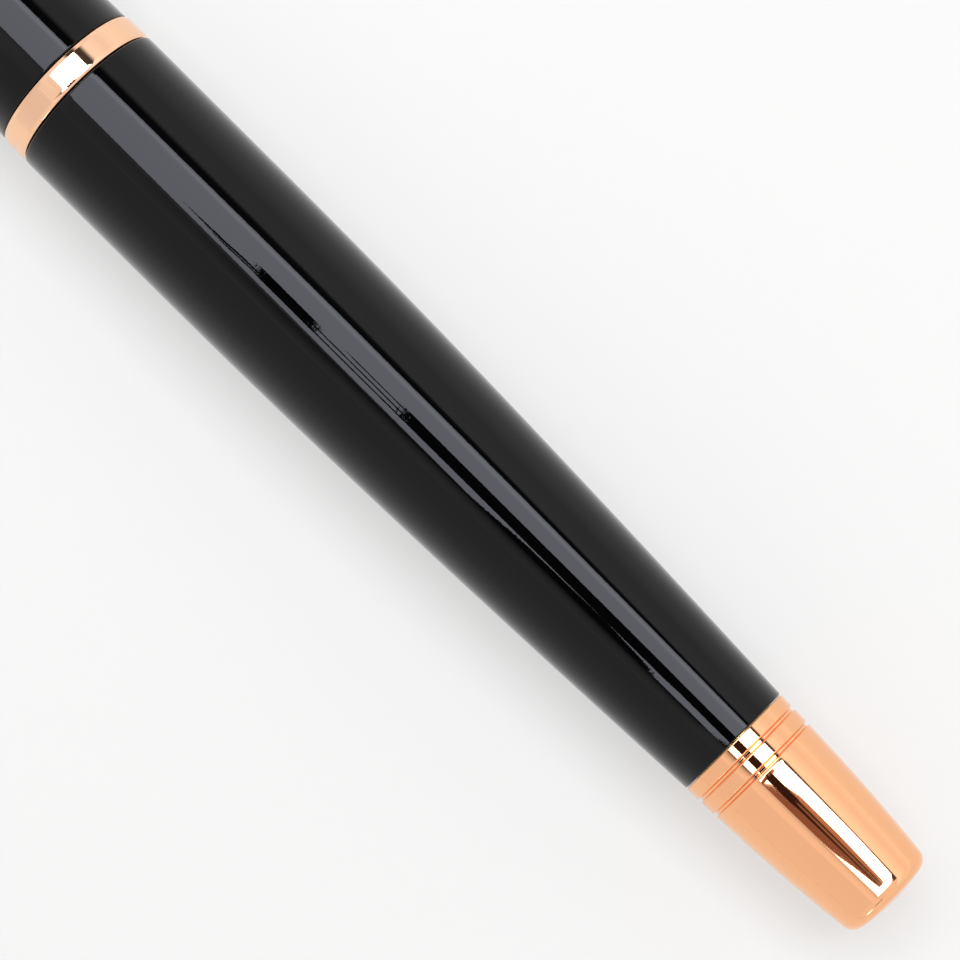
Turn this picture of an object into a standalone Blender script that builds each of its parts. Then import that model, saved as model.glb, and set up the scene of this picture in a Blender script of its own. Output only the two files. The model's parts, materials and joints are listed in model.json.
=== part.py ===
"""A capped metal rollerball pen with a lacquered barrel and plated trim.

The pen lies along X.  X = 0 is the flat at the tail end, +X runs to the cap's
top and the pen's axis is the X axis.  Every size below is in millimetres.
Lines are lists of (station, radius), from the tail to the front.  Where a
third number follows, it is the line's slope at that station.
"""
import math

import bmesh
import bpy
from mathutils import Matrix, Vector

MM = 0.001

# Mesh fineness
SHELL_STEPS = 40
INNER_STEPS = 28
SMALL_STEPS = 20
MERGE = 0.000001
SHARP_ANGLE = math.radians(35)

# Stations that the pieces share
TAIL_FLAT = 0.0
BARREL_TAIL = 15.95
BARREL_MOUTH = 81.6
LIP_REAR = 81.66
LIP_FRONT = 83.82
CAP_TUBE_REAR = 83.86
CAP_TUBE_TOP = 127.2
COLLAR_REAR = 127.3
COLLAR_TOP = 128.7
FINIAL_REAR = 128.76
CAP_TOP = 138.0
REFILL_REAR = 14.4
GRIP_REAR = 84.05
NOSE_FRONT = 120.0
BALL_FRONT = 123.4

# Radii of the surfaces seen from outside
TAIL_RADIUS = 4.742
MOUTH_RADIUS = 6.318
CAP_REAR_RADIUS = 6.2
CAP_TOP_RADIUS = 5.72
COLLAR_RADIUS = 5.62
GRIP_RADIUS = 4.88

# Both end pieces: flat, dome, round corner, grooves and broken edges
END_FLAT_RADIUS = 1.2
END_DOME_STEPS = 3
END_CORNER_RADIUS = 1.05
END_CORNER_START = 168
END_CORNER_STEPS = 4
GROOVE_DEPTH = 0.22
EDGE = 0.08

# Barrel tube and the threaded bush in its mouth
TAPER_TAIL = (BARREL_TAIL, TAIL_RADIUS, 0.046)
TAPER_FRONT = (66.2, 6.281, 0.004)
TAPER_STEPS = 11
BARREL_BORE = [
    (BARREL_TAIL, 3.75),
    (27.0, 3.75),
    (29.0, 4.68),
    (44.0, 5.24),
    (65.6, 5.66),
    (BARREL_MOUTH, 5.68),
]
BUSH_REAR = 66.0
BUSH_FRONT = 81.5
BUSH_RADIUS = 5.58
BUSH_BORE = 4.55

# Tail finial: tapered side, band edges, hollow
TAIL_SIDE_REAR = (1.18, 3.83, 0.108)
TAIL_SIDE_FRONT = (12.84, 4.645, 0.0295)
TAIL_SIDE_STEPS = 5
TAIL_FINIAL_FRONT = 15.9
TAIL_BANDS = (12.93, 13.36, 14.45, 14.81, TAIL_FINIAL_FRONT)
TAIL_BAND_RADIUS = 4.68
TAIL_HOLLOW = [(2.2, 0.0), (2.2, 2.7), (7.4, 3.2), (7.6, 3.72), (TAIL_FINIAL_FRONT, 3.72)]

# Cup-shaped bush between the tail finial and the barrel
TAIL_BUSH_REAR = 7.9
TAIL_BUSH_FLOOR = 8.9
TAIL_BUSH_FRONT = 26.0
TAIL_BUSH_RADIUS = 3.62
TAIL_BUSH_BORE = 3.2

# Spring with the washer behind it and the cup before it
SEAT_REAR = 9.0
SEAT_FRONT = 9.15
SEAT_RADIUS = 2.95
SEAT_BORE = 1.2
CUP_REAR = 13.45
CUP_FRONT = 14.3
CUP_RADIUS = 2.9
SPRING_REAR = 9.4
SPRING_FRONT = 13.3
SPRING_WIRE_RADIUS = 0.2
SPRING_WIRE_STEPS = 2
SPRING_COIL_RADIUS = 2.45
SPRING_TURNS = 5
SPRING_POINTS_PER_TURN = 12

# Refill tube, rear plug and ink
REFILL_RADIUS = 2.95
REFILL_TUBE_REAR = 17.0
REFILL_TUBE_FRONT = 100.1
REFILL_BORE = 2.65
PLUG_CHAMFER = 0.25
PLUG_SHOULDER = 16.9
PLUG_FRONT = 21.0
PLUG_NECK_RADIUS = 2.55
RESERVOIR_REAR = 22.0
RESERVOIR_FRONT = 92.0
RESERVOIR_RADIUS = 2.45
FEED_REAR = 92.2
FEED_FRONT = 119.5
FEED_RADIUS = 0.5

# Refill front: holder, steel point and ball
HOLDER_OUTER = [
    (97.0, 2.55),
    (100.2, 2.55),
    (100.2, REFILL_RADIUS),
    (107.7, REFILL_RADIUS),
    (107.7, 1.6),
    (116.2, 1.6),
    (116.5, 1.4),
]
HOLDER_BORE = [(97.0, 0.65), (112.0, 0.65), (112.0, 1.25), (116.5, 1.25)]
POINT_OUTER = [(112.2, 1.15), (120.6, 1.15), (121.0, 0.95), (123.12, 0.5)]
POINT_BORE = [
    (112.2, 0.65),
    (119.8, 0.65),
    (120.3, 0.22),
    (122.62, 0.22),
    (122.64, 0.41),
    (123.12, 0.41),
]
BALL_RADIUS = 0.35
BALL_SEGMENTS = 16
BALL_RINGS = 10

# Grip section: threaded sleeve, sealing ring and trim ring
SLEEVE_REAR = 70.0
SLEEVE_SHOULDER = 81.5
SLEEVE_FRONT = 88.0
SLEEVE_CHAMFER = 0.3
SLEEVE_NECK_RADIUS = 4.0
SLEEVE_BORE = 3.3
THREAD_RADIUS = 4.4
SEAL_CENTRE = (82.03, 4.4)
SEAL_WIRE_RADIUS = 0.3
SEAL_STEPS = 6
TRIM_STATION = 83.25
TRIM_HALF_WIDTH = 0.537
TRIM_BORE = 4.1
TRIM_ROUND_CENTRE = (TRIM_STATION, 4.4)
TRIM_ROUND = 0.62
TRIM_ROUND_REAR = 150
TRIM_ROUND_FRONT = 30
TRIM_STEPS = 6

# Grip section: waisted grip and nose cone
GRIP_WAIST = (106.5, 4.06, 0.0)
GRIP_WAIST_STEPS = 7
GRIP_FLARE = (112.0, 4.36, 0.06)
GRIP_FLARE_STEPS = 4
GRIP_LIP_CENTRE = (112.5, 3.9)
GRIP_LIP_ROUND = 0.47
GRIP_LIP_REAR = 80
GRIP_LIP_FRONT = 10
GRIP_LIP_STEPS = 3
GRIP_BORE = [(GRIP_REAR, 4.08), (88.1, 4.08), (88.1, 3.15), (107.9, 3.15), (107.9, 3.42)]
GRIP_SOCKET_RADIUS = 3.42
NOSE_SHOULDER = [(108.0, 3.3), (113.06, 3.3), (113.06, 3.72), (113.2, 3.86)]
NOSE_TAPER_REAR = (113.6, 3.84, -0.2)
NOSE_TAPER_FRONT = (119.8, 1.85, -0.38)
NOSE_STEPS = 5
NOSE_RIM_RADIUS = 1.68
NOSE_BORE = [(108.0, 1.75), (116.8, 1.75), (117.3, 1.3), (NOSE_FRONT, 1.3)]

# Cap tube, lip ring and liner
CAP_SPIGOT_REAR = 81.9
CAP_SPIGOT_RADIUS = 5.88
CAP_SLOPE_REAR = -0.003
CAP_SLOPE_TOP = -0.018
CAP_STEPS = 7
CAP_BORE = [(CAP_SPIGOT_REAR, 5.5), (90.0, 5.48), (CAP_TUBE_TOP, 5.12)]
LIP_BORE = 5.96
LINER_OUTER = [(82.1, 5.4), (90.0, 5.36), (125.1, 5.02), (125.1, 0.0)]
LINER_BORE = [(82.1, 5.14), (91.0, 5.08), (93.0, 4.9), (124.3, 4.62), (124.3, 0.0)]

# Cap top: insert, clip collar, stud and finial
INSERT_REAR = 125.3
INSERT_TOP = 127.15
INSERT_RADIUS = 5.0
COLLAR_BORE = 1.62
STUD_REAR = 125.4
STUD_TOP = 133.0
STUD_RADIUS = 1.45
STUD_HOLE = 1.58
STUD_HOLE_TOP = 133.2
CAP_SIDE_TOP = (1.1, 4.72, 0.11)
CAP_SIDE_REAR = (6.2, 5.12, 0.05)
CAP_SIDE_STEPS = 4
CAP_BANDS = (6.3, 6.68, 7.8, 8.14, CAP_TOP - FINIAL_REAR)
CAP_BAND_TOP_RADIUS = 5.14
CAP_BAND_REAR_RADIUS = 5.22

# Clip; heights are from the pen's axis to the clip's underside
CLIP_TIP = (93.4, 6.85, -0.38)
CLIP_CONTACT = (95.4, 6.5, 0.0)
CLIP_KNEE = (99.5, 6.85, 0.06)
CLIP_BEND = (126.9, 7.5, 0.0)
CLIP_ROOT_HEIGHT = 5.75
CLIP_BEND_RADIUS = 1.1
CLIP_BEND_STEPS = 6
CLIP_ARM_STEPS = 8
CLIP_END_STEPS = 3
CLIP_ROOT_ROWS = 2
CLIP_THICKNESS = 0.75
CLIP_ROOT_HALF_WIDTH = 2.1
CLIP_TIP_HALF_WIDTH = 1.45
CLIP_TIP_NARROWING = 0.72
CLIP_CROWN = 0.12
CLIP_COLUMNS = 6
CLIP_EDGE_ROUND = 0.12
CLIP_EDGE_STEPS = 2
CLIP_EDGE_ANGLE = math.radians(50)
CLIP_HINGE = Vector((127.6, 0.0, 6.0))

# Colours (linear RGB), roughness, metallic
LACQUER = ((0.004, 0.004, 0.0045), 0.08, 0.0)
ROSE_GOLD = ((0.93, 0.52, 0.30), 0.12, 1.0)
BRASS = ((0.72, 0.53, 0.24), 0.3, 1.0)
STEEL = ((0.58, 0.57, 0.55), 0.28, 1.0)
BLACK_PLASTIC = ((0.012, 0.012, 0.013), 0.4, 0.0)
WHITE_PLASTIC = ((0.72, 0.72, 0.7), 0.45, 0.0)
RUBBER = ((0.015, 0.015, 0.015), 0.75, 0.0)
FIBRE = ((0.03, 0.04, 0.12), 0.9, 0.0)
CARBIDE = ((0.35, 0.35, 0.36), 0.15, 1.0)


def clear_scene():
    """Remove whatever the scene holds."""
    for item in list(bpy.data.objects):
        bpy.data.objects.remove(item, do_unlink=True)


def make_material(name, look):
    """A Principled material with a colour, a roughness and a metallic value."""
    colour, roughness, metallic = look
    material = bpy.data.materials.new(name)
    material.use_nodes = True
    shader = material.node_tree.nodes["Principled BSDF"]
    shader.inputs["Base Color"].default_value = (*colour, 1.0)
    shader.inputs["Roughness"].default_value = roughness
    shader.inputs["Metallic"].default_value = metallic
    return material


def finish_object(item, look):
    """Shade an object smooth and give it a material of its own."""
    item.data.shade_smooth()
    item.data.set_sharp_from_angle(angle=SHARP_ANGLE)
    item.data.materials.append(make_material(item.name + "_finish", look))


def hermite(start, end, steps):
    """Points along a cubic from start to end, each given as (station, radius, slope)."""
    x0, r0, m0 = start
    x1, r1, m1 = end
    length = x1 - x0
    points = []
    for step in range(steps + 1):
        t = step / steps
        radius = (
            (2 * t**3 - 3 * t**2 + 1) * r0
            + (t**3 - 2 * t**2 + t) * length * m0
            + (3 * t**2 - 2 * t**3) * r1
            + (t**3 - t**2) * length * m1
        )
        points.append((x0 + t * length, radius))
    return points


def arc(centre, radius, start_deg, end_deg, steps):
    """Points on an arc; 0 degrees points along +X and 90 degrees away from the axis."""
    points = []
    for step in range(steps + 1):
        angle = math.radians(start_deg + (end_deg - start_deg) * step / steps)
        points.append((centre[0] + radius * math.cos(angle), centre[1] + radius * math.sin(angle)))
    return points


def profile_loop(outer, inner):
    """Join two tail-to-front lines into one turning path that breaks only on the axis."""
    loop = outer[::-1] + inner
    for index, (_, radius) in enumerate(loop):
        follower = (index + 1) % len(loop)
        if radius == 0 and loop[follower][1] == 0:
            return loop[follower:] + loop[:follower], False
    return loop, True


def turned(name, outer, inner, look, collection, steps=SHELL_STEPS, origin=0.0):
    """Turn a piece about the pen's axis from its outer and inner lines."""
    loop, is_ring = profile_loop(outer, inner)
    mesh = bpy.data.meshes.new(name)
    vertices = [(radius * MM, 0.0, (station - origin) * MM) for station, radius in loop]
    edges = [(index, index + 1) for index in range(len(loop) - 1)]
    if is_ring:
        edges.append((len(loop) - 1, 0))
    mesh.from_pydata(vertices, edges, [])
    item = bpy.data.objects.new(name, mesh)
    collection.objects.link(item)
    item.rotation_euler = (0.0, math.radians(90), 0.0)
    item.location = (origin * MM, 0.0, 0.0)
    screw = item.modifiers.new("Turn", "SCREW")
    screw.axis = "Z"
    screw.angle = math.radians(360)
    screw.steps = steps
    screw.render_steps = steps
    screw.use_merge_vertices = True
    screw.merge_threshold = MERGE
    screw.use_smooth_shade = True
    finish_object(item, look)
    return item


def tube_lines(rear, front, outer_radius, inner_radius):
    """Outer and inner lines of a plain tube or ring."""
    return (
        [(rear, outer_radius), (front, outer_radius)],
        [(rear, inner_radius), (front, inner_radius)],
    )


def rod_lines(rear, front, radius):
    """Lines of a plain solid rod."""
    return [(rear, 0.0), (rear, radius), (front, radius), (front, 0.0)], []


def parent_empty(name, station, collection):
    """An empty on the pen's axis that carries the pieces of one moving body."""
    empty = bpy.data.objects.new(name, None)
    collection.objects.link(empty)
    empty.location = (station * MM, 0.0, 0.0)
    return empty


def attach(parent, *pieces):
    """Parent pieces without moving them."""
    bpy.context.view_layer.update()
    for piece in pieces:
        piece.parent = parent
        piece.matrix_parent_inverse = parent.matrix_world.inverted()


def end_cap_outline(side):
    """Outer line of a tapered end piece, from its flat over the dome and round corner.

    The round corner runs into the side at the side's first (station, radius, slope).
    """
    corner_station, side_radius, side_slope = side
    corner_end = 90 + math.degrees(math.atan(side_slope))
    tangent = math.radians(corner_end)
    centre = (
        corner_station - END_CORNER_RADIUS * math.cos(tangent),
        side_radius - END_CORNER_RADIUS * math.sin(tangent),
    )
    corner = arc(centre, END_CORNER_RADIUS, END_CORNER_START, corner_end, END_CORNER_STEPS)
    edge_station, edge_radius = corner[0]
    dome = []
    for step in range(END_DOME_STEPS):
        radius = END_FLAT_RADIUS + (edge_radius - END_FLAT_RADIUS) * step / END_DOME_STEPS
        share = (radius**2 - END_FLAT_RADIUS**2) / (edge_radius**2 - END_FLAT_RADIUS**2)
        dome.append((edge_station * share, radius))
    return [(TAIL_FLAT, 0.0)] + dome + corner


def ring_band(rear, front, rear_radius, front_radius):
    """Outer line of one raised band with small broken edges."""
    return [
        (rear, rear_radius - EDGE),
        (rear + EDGE, rear_radius),
        (front - EDGE, front_radius),
        (front, front_radius - EDGE),
    ]


def grooved_bands(stations, rear_radius, front_radius):
    """Two bands and the grooves before each; stations are their edges, tail to front."""
    groove_rear, band_rear, band_front, next_rear, front = stations
    middle = (rear_radius + front_radius) / 2
    return (
        [(groove_rear, rear_radius - GROOVE_DEPTH), (band_rear, rear_radius - GROOVE_DEPTH)]
        + ring_band(band_rear, band_front, rear_radius, middle)
        + [(band_front, middle - GROOVE_DEPTH), (next_rear, middle - GROOVE_DEPTH)]
        + ring_band(next_rear, front, middle, front_radius)
    )


def mirrored(outline, end_station):
    """The same outline turned end for end, with its flat at end_station."""
    return [(end_station - station, radius) for station, radius in outline][::-1]


def build_barrel(collection):
    """Lacquered barrel, its threaded bush, the tail finial and the bush that holds it."""
    mouth = [(BARREL_MOUTH - EDGE, MOUTH_RADIUS), (BARREL_MOUTH, MOUTH_RADIUS - EDGE)]
    tube_line = hermite(TAPER_TAIL, TAPER_FRONT, TAPER_STEPS) + mouth
    tube = turned("barrel_tube", tube_line, BARREL_BORE, LACQUER, collection)
    bush_lines = tube_lines(BUSH_REAR, BUSH_FRONT, BUSH_RADIUS, BUSH_BORE)
    bush = turned("barrel_bush", *bush_lines, BRASS, collection, INNER_STEPS)
    side = hermite(TAIL_SIDE_REAR, TAIL_SIDE_FRONT, TAIL_SIDE_STEPS)[1:]
    bands = grooved_bands(TAIL_BANDS, TAIL_BAND_RADIUS, TAIL_RADIUS)
    finial_line = end_cap_outline(TAIL_SIDE_REAR) + side + bands
    finial = turned("tail_finial", finial_line, TAIL_HOLLOW, ROSE_GOLD, collection)
    cup = turned(
        "tail_bush",
        [
            (TAIL_BUSH_REAR, 0.0),
            (TAIL_BUSH_REAR, TAIL_BUSH_RADIUS),
            (TAIL_BUSH_FRONT, TAIL_BUSH_RADIUS),
        ],
        [
            (TAIL_BUSH_FLOOR, 0.0),
            (TAIL_BUSH_FLOOR, TAIL_BUSH_BORE),
            (TAIL_BUSH_FRONT, TAIL_BUSH_BORE),
        ],
        BRASS,
        collection,
        INNER_STEPS,
    )
    attach(parent_empty("barrel_axis", BARREL_MOUTH, collection), tube, bush, finial, cup)


def build_spring(collection):
    """Spring between the tail bush and the refill, with a washer and a cup at its ends."""
    seat_lines = tube_lines(SEAT_REAR, SEAT_FRONT, SEAT_RADIUS, SEAT_BORE)
    washer = turned("spring_seat", *seat_lines, STEEL, collection, SMALL_STEPS)
    attach(parent_empty("spring_seat_axis", SEAT_REAR, collection), washer)
    cup_lines = rod_lines(CUP_REAR, CUP_FRONT, CUP_RADIUS)
    cup = turned("spring_cup", *cup_lines, WHITE_PLASTIC, collection, SMALL_STEPS)
    attach(parent_empty("spring_cup_axis", CUP_REAR, collection), cup)
    curve = bpy.data.curves.new("refill_spring", "CURVE")
    curve.dimensions = "3D"
    curve.bevel_depth = SPRING_WIRE_RADIUS * MM
    curve.bevel_resolution = SPRING_WIRE_STEPS
    curve.use_fill_caps = True
    spline = curve.splines.new("POLY")
    last = SPRING_TURNS * SPRING_POINTS_PER_TURN
    travel = SPRING_FRONT - SPRING_REAR - 2 * SPRING_WIRE_RADIUS
    spline.points.add(last)
    for index, point in enumerate(spline.points):
        angle = 2 * math.pi * index / SPRING_POINTS_PER_TURN
        station = SPRING_REAR + SPRING_WIRE_RADIUS + travel * index / last
        point.co = (
            station * MM,
            SPRING_COIL_RADIUS * MM * math.cos(angle),
            SPRING_COIL_RADIUS * MM * math.sin(angle),
            1.0,
        )
    spring = bpy.data.objects.new("refill_spring", curve)
    collection.objects.link(spring)
    curve.materials.append(make_material("refill_spring_finish", STEEL))


def build_refill(collection):
    """Ink refill: tube, plug, fibre reservoir, front holder, feed and steel point."""
    plug_line = [
        (REFILL_REAR, 0.0),
        (REFILL_REAR, REFILL_RADIUS - PLUG_CHAMFER),
        (REFILL_REAR + PLUG_CHAMFER, REFILL_RADIUS),
        (PLUG_SHOULDER, REFILL_RADIUS),
        (PLUG_SHOULDER, PLUG_NECK_RADIUS),
        (PLUG_FRONT, PLUG_NECK_RADIUS),
        (PLUG_FRONT, 0.0),
    ]
    plug = turned("refill_plug", plug_line, [], BLACK_PLASTIC, collection, SMALL_STEPS)
    lines = tube_lines(REFILL_TUBE_REAR, REFILL_TUBE_FRONT, REFILL_RADIUS, REFILL_BORE)
    tube = turned("refill_tube", *lines, STEEL, collection, INNER_STEPS)
    lines = rod_lines(RESERVOIR_REAR, RESERVOIR_FRONT, RESERVOIR_RADIUS)
    reservoir = turned("ink_reservoir", *lines, FIBRE, collection, SMALL_STEPS)
    lines = (HOLDER_OUTER, HOLDER_BORE)
    holder = turned("point_holder", *lines, BLACK_PLASTIC, collection, INNER_STEPS)
    lines = rod_lines(FEED_REAR, FEED_FRONT, FEED_RADIUS)
    feed = turned("ink_feed", *lines, FIBRE, collection, SMALL_STEPS)
    point = turned("point_tube", POINT_OUTER, POINT_BORE, STEEL, collection, SMALL_STEPS)
    refill = parent_empty("refill_axis", REFILL_REAR, collection)
    attach(refill, plug, tube, reservoir, holder, feed, point)
    ball_mesh = bpy.data.meshes.new("writing_ball")
    ball = bpy.data.objects.new("writing_ball", ball_mesh)
    collection.objects.link(ball)
    sphere = bmesh.new()
    bmesh.ops.create_uvsphere(
        sphere, u_segments=BALL_SEGMENTS, v_segments=BALL_RINGS, radius=BALL_RADIUS * MM
    )
    sphere.to_mesh(ball_mesh)
    sphere.free()
    ball.location = ((BALL_FRONT - BALL_RADIUS) * MM, 0.0, 0.0)
    finish_object(ball, CARBIDE)
    attach(refill, ball)


def build_section(collection):
    """Grip section with its threaded sleeve, trim ring, sealing ring and nose cone."""
    sleeve = turned(
        "section_sleeve",
        [
            (SLEEVE_REAR, THREAD_RADIUS - SLEEVE_CHAMFER),
            (SLEEVE_REAR + SLEEVE_CHAMFER, THREAD_RADIUS),
            (SLEEVE_SHOULDER, THREAD_RADIUS),
            (SLEEVE_SHOULDER, SLEEVE_NECK_RADIUS),
            (SLEEVE_FRONT, SLEEVE_NECK_RADIUS),
        ],
        [(SLEEVE_REAR, SLEEVE_BORE), (SLEEVE_FRONT, SLEEVE_BORE)],
        BRASS,
        collection,
        INNER_STEPS,
    )
    seal_line = arc(SEAL_CENTRE, SEAL_WIRE_RADIUS, 180, 0, SEAL_STEPS)
    seal_under = arc(SEAL_CENTRE, SEAL_WIRE_RADIUS, 180, 360, SEAL_STEPS)[1:-1]
    seal = turned("section_seal", seal_line, seal_under, RUBBER, collection, INNER_STEPS)
    ring_line = arc(TRIM_ROUND_CENTRE, TRIM_ROUND, TRIM_ROUND_REAR, TRIM_ROUND_FRONT, TRIM_STEPS)
    ring_bore = [
        (TRIM_STATION - TRIM_HALF_WIDTH, TRIM_BORE),
        (TRIM_STATION + TRIM_HALF_WIDTH, TRIM_BORE),
    ]
    ring = turned("section_ring", ring_line, ring_bore, ROSE_GOLD, collection)
    grip_line = (
        [(GRIP_REAR, GRIP_RADIUS - EDGE)]
        + hermite((GRIP_REAR + EDGE, GRIP_RADIUS, 0.0), GRIP_WAIST, GRIP_WAIST_STEPS)
        + hermite(GRIP_WAIST, GRIP_FLARE, GRIP_FLARE_STEPS)[1:]
        + arc(GRIP_LIP_CENTRE, GRIP_LIP_ROUND, GRIP_LIP_REAR, GRIP_LIP_FRONT, GRIP_LIP_STEPS)
    )
    grip_front = grip_line[-1][0]
    grip_bore = GRIP_BORE + [(grip_front, GRIP_SOCKET_RADIUS)]
    grip = turned("grip_section", grip_line, grip_bore, LACQUER, collection)
    nose_taper = hermite(NOSE_TAPER_REAR, NOSE_TAPER_FRONT, NOSE_STEPS)
    nose_line = NOSE_SHOULDER + nose_taper + [(NOSE_FRONT, NOSE_RIM_RADIUS)]
    cone = turned("nose_cone", nose_line, NOSE_BORE, ROSE_GOLD, collection)
    pieces = (sleeve, seal, ring, grip, cone)
    attach(parent_empty("section_axis", BARREL_MOUTH, collection), *pieces)


def build_cap(collection):
    """Cap: tube, lip ring, liner, insert, clip collar, stud and finial."""
    tube_side = hermite(
        (CAP_TUBE_REAR + EDGE, CAP_REAR_RADIUS, CAP_SLOPE_REAR),
        (CAP_TUBE_TOP - EDGE, CAP_TOP_RADIUS, CAP_SLOPE_TOP),
        CAP_STEPS,
    )
    tube_line = [
        (CAP_SPIGOT_REAR, CAP_SPIGOT_RADIUS),
        (CAP_TUBE_REAR, CAP_SPIGOT_RADIUS),
        (CAP_TUBE_REAR, CAP_REAR_RADIUS - EDGE),
        *tube_side,
        (CAP_TUBE_TOP, CAP_TOP_RADIUS - EDGE),
    ]
    tube = turned("cap_tube", tube_line, CAP_BORE, LACQUER, collection)
    lip_line = ring_band(LIP_REAR, LIP_FRONT, MOUTH_RADIUS, MOUTH_RADIUS)
    lip_bore = [(LIP_REAR, LIP_BORE), (LIP_FRONT, LIP_BORE)]
    lip = turned("cap_lip_ring", lip_line, lip_bore, ROSE_GOLD, collection)
    lines = (LINER_OUTER, LINER_BORE)
    liner = turned("cap_liner", *lines, BLACK_PLASTIC, collection, INNER_STEPS)
    lines = tube_lines(INSERT_REAR, INSERT_TOP, INSERT_RADIUS, STUD_HOLE)
    insert = turned("cap_insert", *lines, BRASS, collection, INNER_STEPS)
    collar_line = ring_band(COLLAR_REAR, COLLAR_TOP, COLLAR_RADIUS, COLLAR_RADIUS)
    collar_bore = [(COLLAR_REAR, COLLAR_BORE), (COLLAR_TOP, COLLAR_BORE)]
    collar = turned("clip_collar", collar_line, collar_bore, ROSE_GOLD, collection)
    lines = rod_lines(STUD_REAR, STUD_TOP, STUD_RADIUS)
    stud = turned("finial_stud", *lines, BRASS, collection, SMALL_STEPS)
    side = hermite(CAP_SIDE_TOP, CAP_SIDE_REAR, CAP_SIDE_STEPS)[1:]
    bands = grooved_bands(CAP_BANDS, CAP_BAND_TOP_RADIUS, CAP_BAND_REAR_RADIUS)
    finial_line = mirrored(end_cap_outline(CAP_SIDE_TOP) + side + bands, CAP_TOP)
    finial_hole = [(FINIAL_REAR, STUD_HOLE), (STUD_HOLE_TOP, STUD_HOLE), (STUD_HOLE_TOP, 0.0)]
    finial = turned("cap_finial", finial_line, finial_hole, ROSE_GOLD, collection)
    cap = parent_empty("cap_axis", LIP_REAR, collection)
    attach(cap, tube, lip, liner, insert, collar, stud, finial)
    return cap


def clip_line():
    """Underside of the clip as (station, height above the axis), root to tip."""
    bend_station, bend_height, _ = CLIP_BEND
    root = [(bend_station + CLIP_BEND_RADIUS, CLIP_ROOT_HEIGHT)]
    bend_centre = (bend_station, bend_height - CLIP_BEND_RADIUS)
    bend = arc(bend_centre, CLIP_BEND_RADIUS, 0, 90, CLIP_BEND_STEPS)
    arm = hermite(CLIP_BEND, CLIP_KNEE, CLIP_ARM_STEPS)[1:]
    knee = hermite(CLIP_KNEE, CLIP_CONTACT, CLIP_END_STEPS)[1:]
    tip = hermite(CLIP_CONTACT, CLIP_TIP, CLIP_END_STEPS)[1:]
    return root + bend + arm + knee + tip


def clip_roll_angle():
    """Angle about X that lets the clip's outer edge touch the plane under the lip ring."""
    corner_height = CLIP_BEND[1] + CLIP_THICKNESS - CLIP_CROWN
    reach = math.hypot(corner_height, CLIP_ROOT_HALF_WIDTH)
    below = math.asin(MOUTH_RADIUS / reach) - math.atan(CLIP_ROOT_HALF_WIDTH / corner_height)
    return math.radians(90) + below


def clip_half_width(station, is_tip):
    """Half the clip's width at a station; the very tip is narrower still."""
    share = min((station - CLIP_TIP[0]) / (CLIP_BEND[0] - CLIP_TIP[0]), 1)
    half_width = CLIP_TIP_HALF_WIDTH + (CLIP_ROOT_HALF_WIDTH - CLIP_TIP_HALF_WIDTH) * share
    return half_width * (CLIP_TIP_NARROWING if is_tip else 1)


def build_clip(collection, cap):
    """Sprung sheet clip: a curved strip with thickness, hinged at the collar."""
    line = clip_line()
    last = len(line) - 1
    strip = bmesh.new()
    bmesh.ops.create_grid(strip, x_segments=last, y_segments=CLIP_COLUMNS, size=1.0)
    for vertex in strip.verts:
        row = round((vertex.co.x + 1.0) / 2.0 * last)
        across = vertex.co.y
        station, height = line[row]
        sag = 0.0 if row < CLIP_ROOT_ROWS else CLIP_CROWN * across**2
        vertex.co = (
            station - CLIP_HINGE.x,
            clip_half_width(station, row == last) * across,
            height - sag - CLIP_HINGE.z,
        )
    bmesh.ops.scale(strip, vec=(MM, MM, MM), verts=strip.verts)
    bmesh.ops.reverse_faces(strip, faces=strip.faces)
    mesh = bpy.data.meshes.new("clip")
    strip.to_mesh(mesh)
    strip.free()
    clip = bpy.data.objects.new("clip", mesh)
    collection.objects.link(clip)
    roll = Matrix.Rotation(clip_roll_angle(), 3, "X")
    clip.rotation_euler = roll.to_euler()
    clip.location = roll @ (CLIP_HINGE * MM)
    thickness = clip.modifiers.new("Thickness", "SOLIDIFY")
    thickness.thickness = CLIP_THICKNESS * MM
    thickness.offset = 1.0
    rounding = clip.modifiers.new("Edges", "BEVEL")
    rounding.width = CLIP_EDGE_ROUND * MM
    rounding.segments = CLIP_EDGE_STEPS
    rounding.limit_method = "ANGLE"
    rounding.angle_limit = CLIP_EDGE_ANGLE
    finish_object(clip, ROSE_GOLD)
    attach(cap, clip)


def main():
    """Build the whole pen."""
    clear_scene()
    collection = bpy.data.collections.new("rollerball_pen")
    bpy.context.scene.collection.children.link(collection)
    build_barrel(collection)
    build_spring(collection)
    build_refill(collection)
    build_section(collection)
    cap = build_cap(collection)
    build_clip(collection, cap)


main()
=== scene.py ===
"""The looks of a capped rollerball pen: lacquered barrel and cap, rose-gold trim, the inside."""
import json
import math

import bmesh
import bpy
from mathutils import Matrix, Vector


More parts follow.
